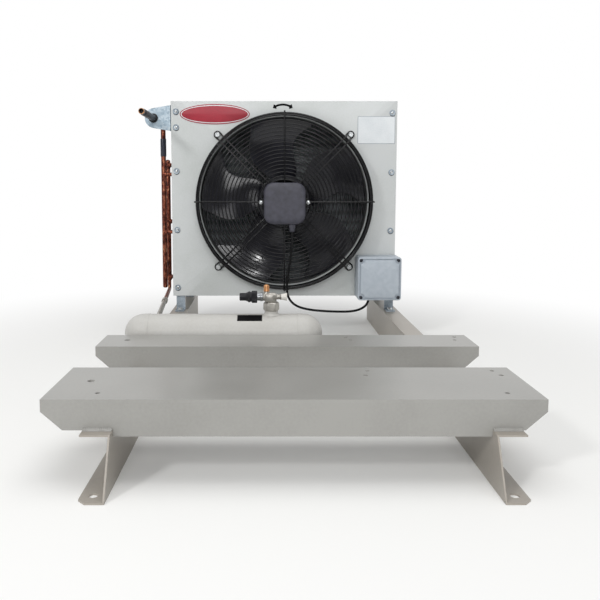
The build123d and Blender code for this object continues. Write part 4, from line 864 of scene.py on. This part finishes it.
rootAngles = [math.atan2(way * tab["half"], casingLeft - gasX) for way in (1, -1)]
tabAngles = np.unique(np.round(np.concatenate([np.linspace(-np.pi, np.pi, 120, endpoint=False), rootAngles]),
    6))
tabRows = [("circle", 12.2, 380), ("circle", 12.2, 378), ("edge", 0.4, 378), ("edge", 0, 378.4),
    ("edge", 0, 379.6), ("edge", 0.4, 380)]
flange = squareStack([(378, 60), (378, 0.2), (378.3, 0), (400, 0), (400, 60)], tab["half"], 1, 0, inletZ, 4)
flange[..., 0] = casingLeft - 1 + flange[..., 0] / tab["half"]
makePiece("inlet_tab_plate", [(aroundPanel(tabRows, tabAngles, gasX, inletZ, tabReach), True), flange],
    zincSheet, ("inlet_tab",), 40)
grommet = [(374, 9.6), (373.9, 12), (374.8, 13.6), (376.2, 14), (377.6, 13.4), (378, 12.1), (380, 12.1),
    (380.3, 10.8), (380, 9.6)]
makePiece("tab_rubber_grommet", [(turned(grommet, (gasX, 0, inletZ), toBack, 40), True)], smoothRubber,
    ("tab_grommet",), 60)
print("coil and pipes done")


# Receiver: welded tube with dished heads

receiver = {"left": -308, "right": 33, "flange": 15}
turn = np.radians(np.linspace(0, 90, 14))
leftDome = [(receiver["left"] - receiver["flange"] - 43 * math.sin(t), 43 * math.cos(t)) for t in turn[::-1]]
rightDome = [(receiver["right"] + receiver["flange"] + 43 * math.sin(t), 43 * math.cos(t)) for t in turn]
receiverAt = (0, receiverY, receiverZ)
rim = 43.5  # the heads' rims stand half a millimetre proud of the shell
profile = leftDome[:-1] + [(receiver["left"] - receiver["flange"], 43), (receiver["left"] - 12, rim),
    (receiver["left"] - 1, rim), (receiver["left"] - 0.4, 43), (receiver["left"], 42.3),
    (receiver["left"] + 1, 43), (receiver["right"] - 1, 43), (receiver["right"], 42.3),
    (receiver["right"] + 0.4, 43), (receiver["right"] + 1, rim), (receiver["right"] + 12, rim),
    (receiver["right"] + receiver["flange"], 43)] + rightDome[1:]
seams = []
for seamX in (receiver["left"], receiver["right"]):
    a = allRound(160)
    ripple = 42.2 + 0.25 * np.sin(a * 60)
    path = asPoints(seamX, receiverY + ripple * np.cos(a), receiverZ + ripple * np.sin(a))
    seams.append((carried(path, 1.3, 8, closed=True, start=np.array([1, 0, 0])), True))
slope = math.radians(52)
meet = np.array([-296, receiverY + 43 * math.sin(slope), receiverZ + 43 * math.cos(slope)])
lineCorner = np.array([liquidX, tubeY(2), 118])
lineWay = unit(lineCorner - meet)
boss = turned([(-4, 0), (-4, 10.5), (0, 10.2), (3, 9), (11.2, 9), (12, 8.2), (12, 0)], meet, lineWay, 32)
makePiece("receiver_vessel", [turned(profile, receiverAt, toRight, 96)] + seams + [boss], receiverPaint,
    ("receiver_shell", "receiver_heads"), 30)
spud = [(-12, 0), (-12, 20), (0, 19.4), (2, 17.6), (4.5, 15.6), (10, 15), (10, 0)]
makePiece("receiver_neck", [turned(spud, (valveX, receiverY, 176), upward, 48)], receiverPaint,
    ("receiver_spud",))
labelAngle = np.radians(np.linspace(41, 11, 10))
labelX = np.linspace(-105, -48, 2)
skin = [asPoints(x, receiverY - r * np.sin(labelAngle), receiverZ + r * np.cos(labelAngle))
    for x, r in ((labelX[0], 43.02), (labelX[0], 43.35), (labelX[1], 43.35), (labelX[1], 43.02))]
labelGrid = np.stack(skin, axis=1)
makePiece("receiver_label", [capped(labelGrid)], signBlack, sharpAngle=30)

linePath = rounded([np.array([liquidX, tubeY(2), 146]), lineCorner, meet + lineWay * 11], 20, 12)
makePiece("liquid_line_tube", [carried(linePath, 6, 20)], agedCopper, ("liquid_line",), 50)
greyPart = np.array([meet + lineWay * t
    for t in np.linspace(12.5, 12.5 + 0.5 * np.linalg.norm(lineCorner - meet) - 34, 12)])
makePiece("liquid_line_paint", [carried(greyPart, 6.15, 20)], brazedSteel, sharpAngle=50)
couplingAt = meet + (lineCorner - meet) * 0.5
coupling = [(-22, 6.1), (-22, 7.8), (-20.5, 8.5), (-8, 8.5), (-7, 8), (7, 8), (8, 8.5), (20.5, 8.5), (22, 7.8),
    (22, 6.1)]
makePiece("liquid_line_coupling", [(turned(coupling, couplingAt, lineWay, 32), True)], brazedSteel,
    ("liquid_coupling",))
print("receiver done")


# Shut-off valve

valveAt = np.array([valveX, receiverY, stemZ])
nutAt = (valveX, receiverY, 186)
nut = [(0, 0), (0, 15.4), (1.6, 17), (3.6, 18.4), (16.4, 18.4), (18.4, 17), (20, 15), (20, 0)]
makePiece("valve_nut", [hexTurned(nut, nutAt, upward, 16.4, 30)], forgedNickel, ("rotalock_nut",), 28)
# The forging: an upright barrel pinched at its foot, run through by a level barrel with two shoulders
block = squareStack([(-14, 40), (-14, 5), (-13.2, 2.6), (-11.6, 1), (-9, 0.2), (9, 0.2), (11.6, 1), (13.2, 2.6),
    (14, 5), (14, 40)], 11.5, 5, 0, 0)
block = block * np.array([1, 1, 0.84]) + np.array([-31, receiverY, 216])
foot = [(205.8, 0), (205.8, 11.5), (207.6, 12.5), (210, 12), (212, 10.5), (212, 0)]
level = [(-17, 0), (-17, 7.6), (-15.5, 9), (-10, 9.8), (10, 9.8), (14, 8.4), (15.5, 6.2), (23, 5.8), (24.5, 7),
    (26, 7), (26, 0)]
spigot = [(222, 0), (222, 8), (226, 7.4), (228, 6.2), (232, 6), (232, 0)]
body = [block, turned(foot, (valveX, receiverY, 0), upward, 40), turned(level, valveAt - np.array([3, 0, 0]),
    toRight, 40), turned(spigot, (stubX, receiverY, 0), upward, 32)]
makePiece("valve_forging", body, forgedNickel, ("valve_body",), 35)
packing = [(-46, 4.1), (-46, 9), (-47.5, 10.2), (-52, 10.2), (-53.5, 9), (-59, 9), (-59, 8), (-69, 8),
    (-69, 4.1)]
packing = [(x - valveX, r) for x, r in packing]
makePiece("valve_packing", [(turned(packing, valveAt, toRight, 32), True)], turnedSteel,
    ("valve_packing_nut",))


def ribbedCap():
    # Each row's radius plus a cosine of 36 ribs, half a millimetre high on the skirt and none at the nose
    angle = allRound(144)
    rows = [(-59.3, 8.1, 0), (-59.3, 12.6, 0), (-60, 13.4, 0.3), (-61, 13.6, 0.5), (-71, 13.6, 0.5),
        (-72, 12.8, 0.2), (-73, 11.4, 0), (-75, 11.4, 0), (-76, 12.2, 0.4), (-80, 12, 0.4), (-81, 11, 0.1),
        (-85.5, 9.3, 0), (-86.5, 9, 0), (-98.6, 9, 0), (-100, 8.2, 0), (-100.3, 7, 0), (-100.3, 0, 0)]
    grid = []
    for x, r, rib in rows:
        reach = r + rib * np.cos(36 * angle)
        grid.append(asPoints(x, receiverY + reach * np.cos(angle), stemZ + reach * np.sin(angle)))
    inner = [asPoints(x, receiverY + r * np.cos(angle), stemZ + r * np.sin(angle))
        for x, r in ((-84.2, 0), (-84.2, 8.1))]
    return np.stack(inner + grid)


makePiece("valve_screw_cap", [ribbedCap()], capPlastic, ("valve_cap",), 40, body=cap)
plug = [(-4, 0), (-4, 6.4), (-2, 6.8), (5, 8.2), (8.2, 9.4), (9, 9.2), (9, 7), (7, 6.4), (7, 0)]
plug = [(x - valveX, r) for x, r in plug]
makePiece("valve_plug", [turned(plug, valveAt, toRight, 32)], milkyPlastic, ("valve_port_plug",))
stubAt = (stubX, receiverY, 232)
outletCap = [(-1, 0), (-1, 6.9), (0.6, 7), (1.6, 6.5), (10, 6.5), (12.4, 5.9), (14.2, 4.4), (14.9, 2.4),
    (15, 0)]
makePiece("valve_outlet_cap", [turned(outletCap, stubAt, upward, 32)], brightCopper,
    ("valve_stub",))
print("valve done")


# Bolts of the casing's feet

footBolt = {"x": (-303, 341), "y": (369, 639), "z": 93, "halfAcross": 6.5,
    "washer": [(0, 0), (0, 8), (1.3, 8), (1.6, 7.6), (1.6, 0)],
    "head": [(1.6, 0), (1.6, 7.5), (6.4, 7.5), (7.1, 6.3), (7.1, 0)],
    "nut": [(-6, 0), (-6, 7.5), (-12.5, 7.5), (-12.5, 0)],
    "shank": [(1, 0), (1, 4), (-18, 4), (-18.5, 3.4), (-18.5, 0)]}
bolts = []
for x in footBolt["x"]:
    for y in footBolt["y"]:
        spot = (x, y, footBolt["z"])
        bolts.append(turned(footBolt["washer"], spot, upward, 32))
        bolts.append(hexTurned(footBolt["head"], spot, upward, footBolt["halfAcross"], 10))
        bolts.append(hexTurned(footBolt["nut"], spot, upward, footBolt["halfAcross"], 25))
        bolts.append(turned(footBolt["shank"], spot, upward, 16))
makePiece("foot_bolt_set", bolts, brightZinc, ("foot_bolts",))

# What stays as it is in the frame only gets its finish
for nodeName, material in (("fin_pack", fins), ("motor_stator", rotorPaint), ("motor_bearings", turnedSteel),
        ("motor_shaft", turnedSteel), ("terminal_block", terminalPlastic), ("valve_stem", turnedSteel)):
    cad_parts[nodeName].material_slots[0].material = material
print("all pieces done")


# Floor, light and camera

studio = {"floor": "#F6F6F4", "keyPower": 232, "glintPower": 44, "topPower": 36, "world": 0.4,
    "glossyFront": 0.2, "glossyBack": 0.95}


def floorMaterial():  # pale matt floor that passes into plain white further out, so that no horizon shows
    material, tree, shader, coords = startMaterial("paleFloor", {"Base Color": linearColour(studio["floor"]),
        "Roughness": 0.9})
    far = addNode(tree, "VectorMath", {"operation": "LENGTH"}, links={0: coords})
    share = addNode(tree, "MapRange", {"interpolation_type": "SMOOTHSTEP"}, {1: 0.6, 2: 1.6, 3: 0.1, 4: 1},
        {0: far.outputs["Value"]})
    white = addNode(tree, "Emission", values={"Color": grey(1)})
    both = addNode(tree, "MixShader", links={0: share, 1: shader, 2: white})
    output = next(node for node in tree.nodes if node.type == "OUTPUT_MATERIAL")
    tree.links.new(both.outputs[0], output.inputs["Surface"])
    return material


floorMesh = bpy.data.meshes.new("floor")
floorMesh.from_pydata([(-9, -9, 0), (9, -9, 0), (9, 9, 0), (-9, 9, 0)], [], [(0, 1, 2, 3)])
floorMesh.materials.append(floorMaterial())
floorPiece = addObject("floor", floorMesh)

world = bpy.data.worlds.new("studio")
bpy.context.scene.world = world
world.use_nodes = True
tree = world.node_tree
tree.nodes.clear()
seen = addNode(tree, "LightPath")
direct = addNode(tree, "Math", {"operation": "MAXIMUM"}, links={0: seen.outputs["Is Camera Ray"],
    1: seen.outputs["Is Transmission Ray"]})
# Mirrored light is white behind the object and dim on the camera's side
ahead = addNode(tree, "SeparateXYZ", links={0: addNode(tree, "TexCoord").outputs["Generated"]})
mirrored = addNode(tree, "MapRange", values={1: -0.5, 2: 0.4, 3: studio["glossyFront"],
    4: studio["glossyBack"]}, links={0: ahead.outputs["Y"]})
spread = addNode(tree, "Mix", {"data_type": "FLOAT"}, {2: studio["world"]}, {0: seen.outputs["Is Glossy Ray"],
    3: mirrored})
level = addNode(tree, "Math", {"operation": "MAXIMUM"}, links={0: direct, 1: spread})
sky = addNode(tree, "Background", values={"Color": (1, 1, 1, 1)}, links={"Strength": level})
addNode(tree, "OutputWorld", links={"Surface": sky})


def areaLamp(name, power, size, spot, aim):  # a square lamp turned to a point
    data = bpy.data.lights.new(name, "AREA")
    data.energy = power
    data.shape = "SQUARE"
    data.size = size
    lamp = addObject(name, data)
    lamp.location = spot
    lamp.rotation_euler = (Vector(aim) - Vector(spot)).to_track_quat("-Z", "Y").to_euler()


areaLamp("key", studio["keyPower"], 3.4, (0.3, -8, 3.6), (0, 0.2, 0.35))
areaLamp("glint", studio["glintPower"], 0.5, (-2.3, -3, 2.4), (0, 0.4, 0.4))
areaLamp("top", studio["topPower"], 2.2, (0.1, -0.3, 3), (0, -0.1, 0.3))

camera = addObject("camera", bpy.data.cameras.new("camera"))
camera.location = (-0.0389, -1.6038, 0.47675)
camera.rotation_euler = (math.radians(90 - 5.44), 0, 0)
camera.data.lens = 39
camera.data.sensor_width = 36
camera.data.shift_x = (300 - 266.14) / 600
camera.data.shift_y = -(300 - 246.19) / 600
camera.data.clip_end = 50
bpy.context.scene.camera = camera
bpy.context.scene.view_settings.view_transform = "Standard"
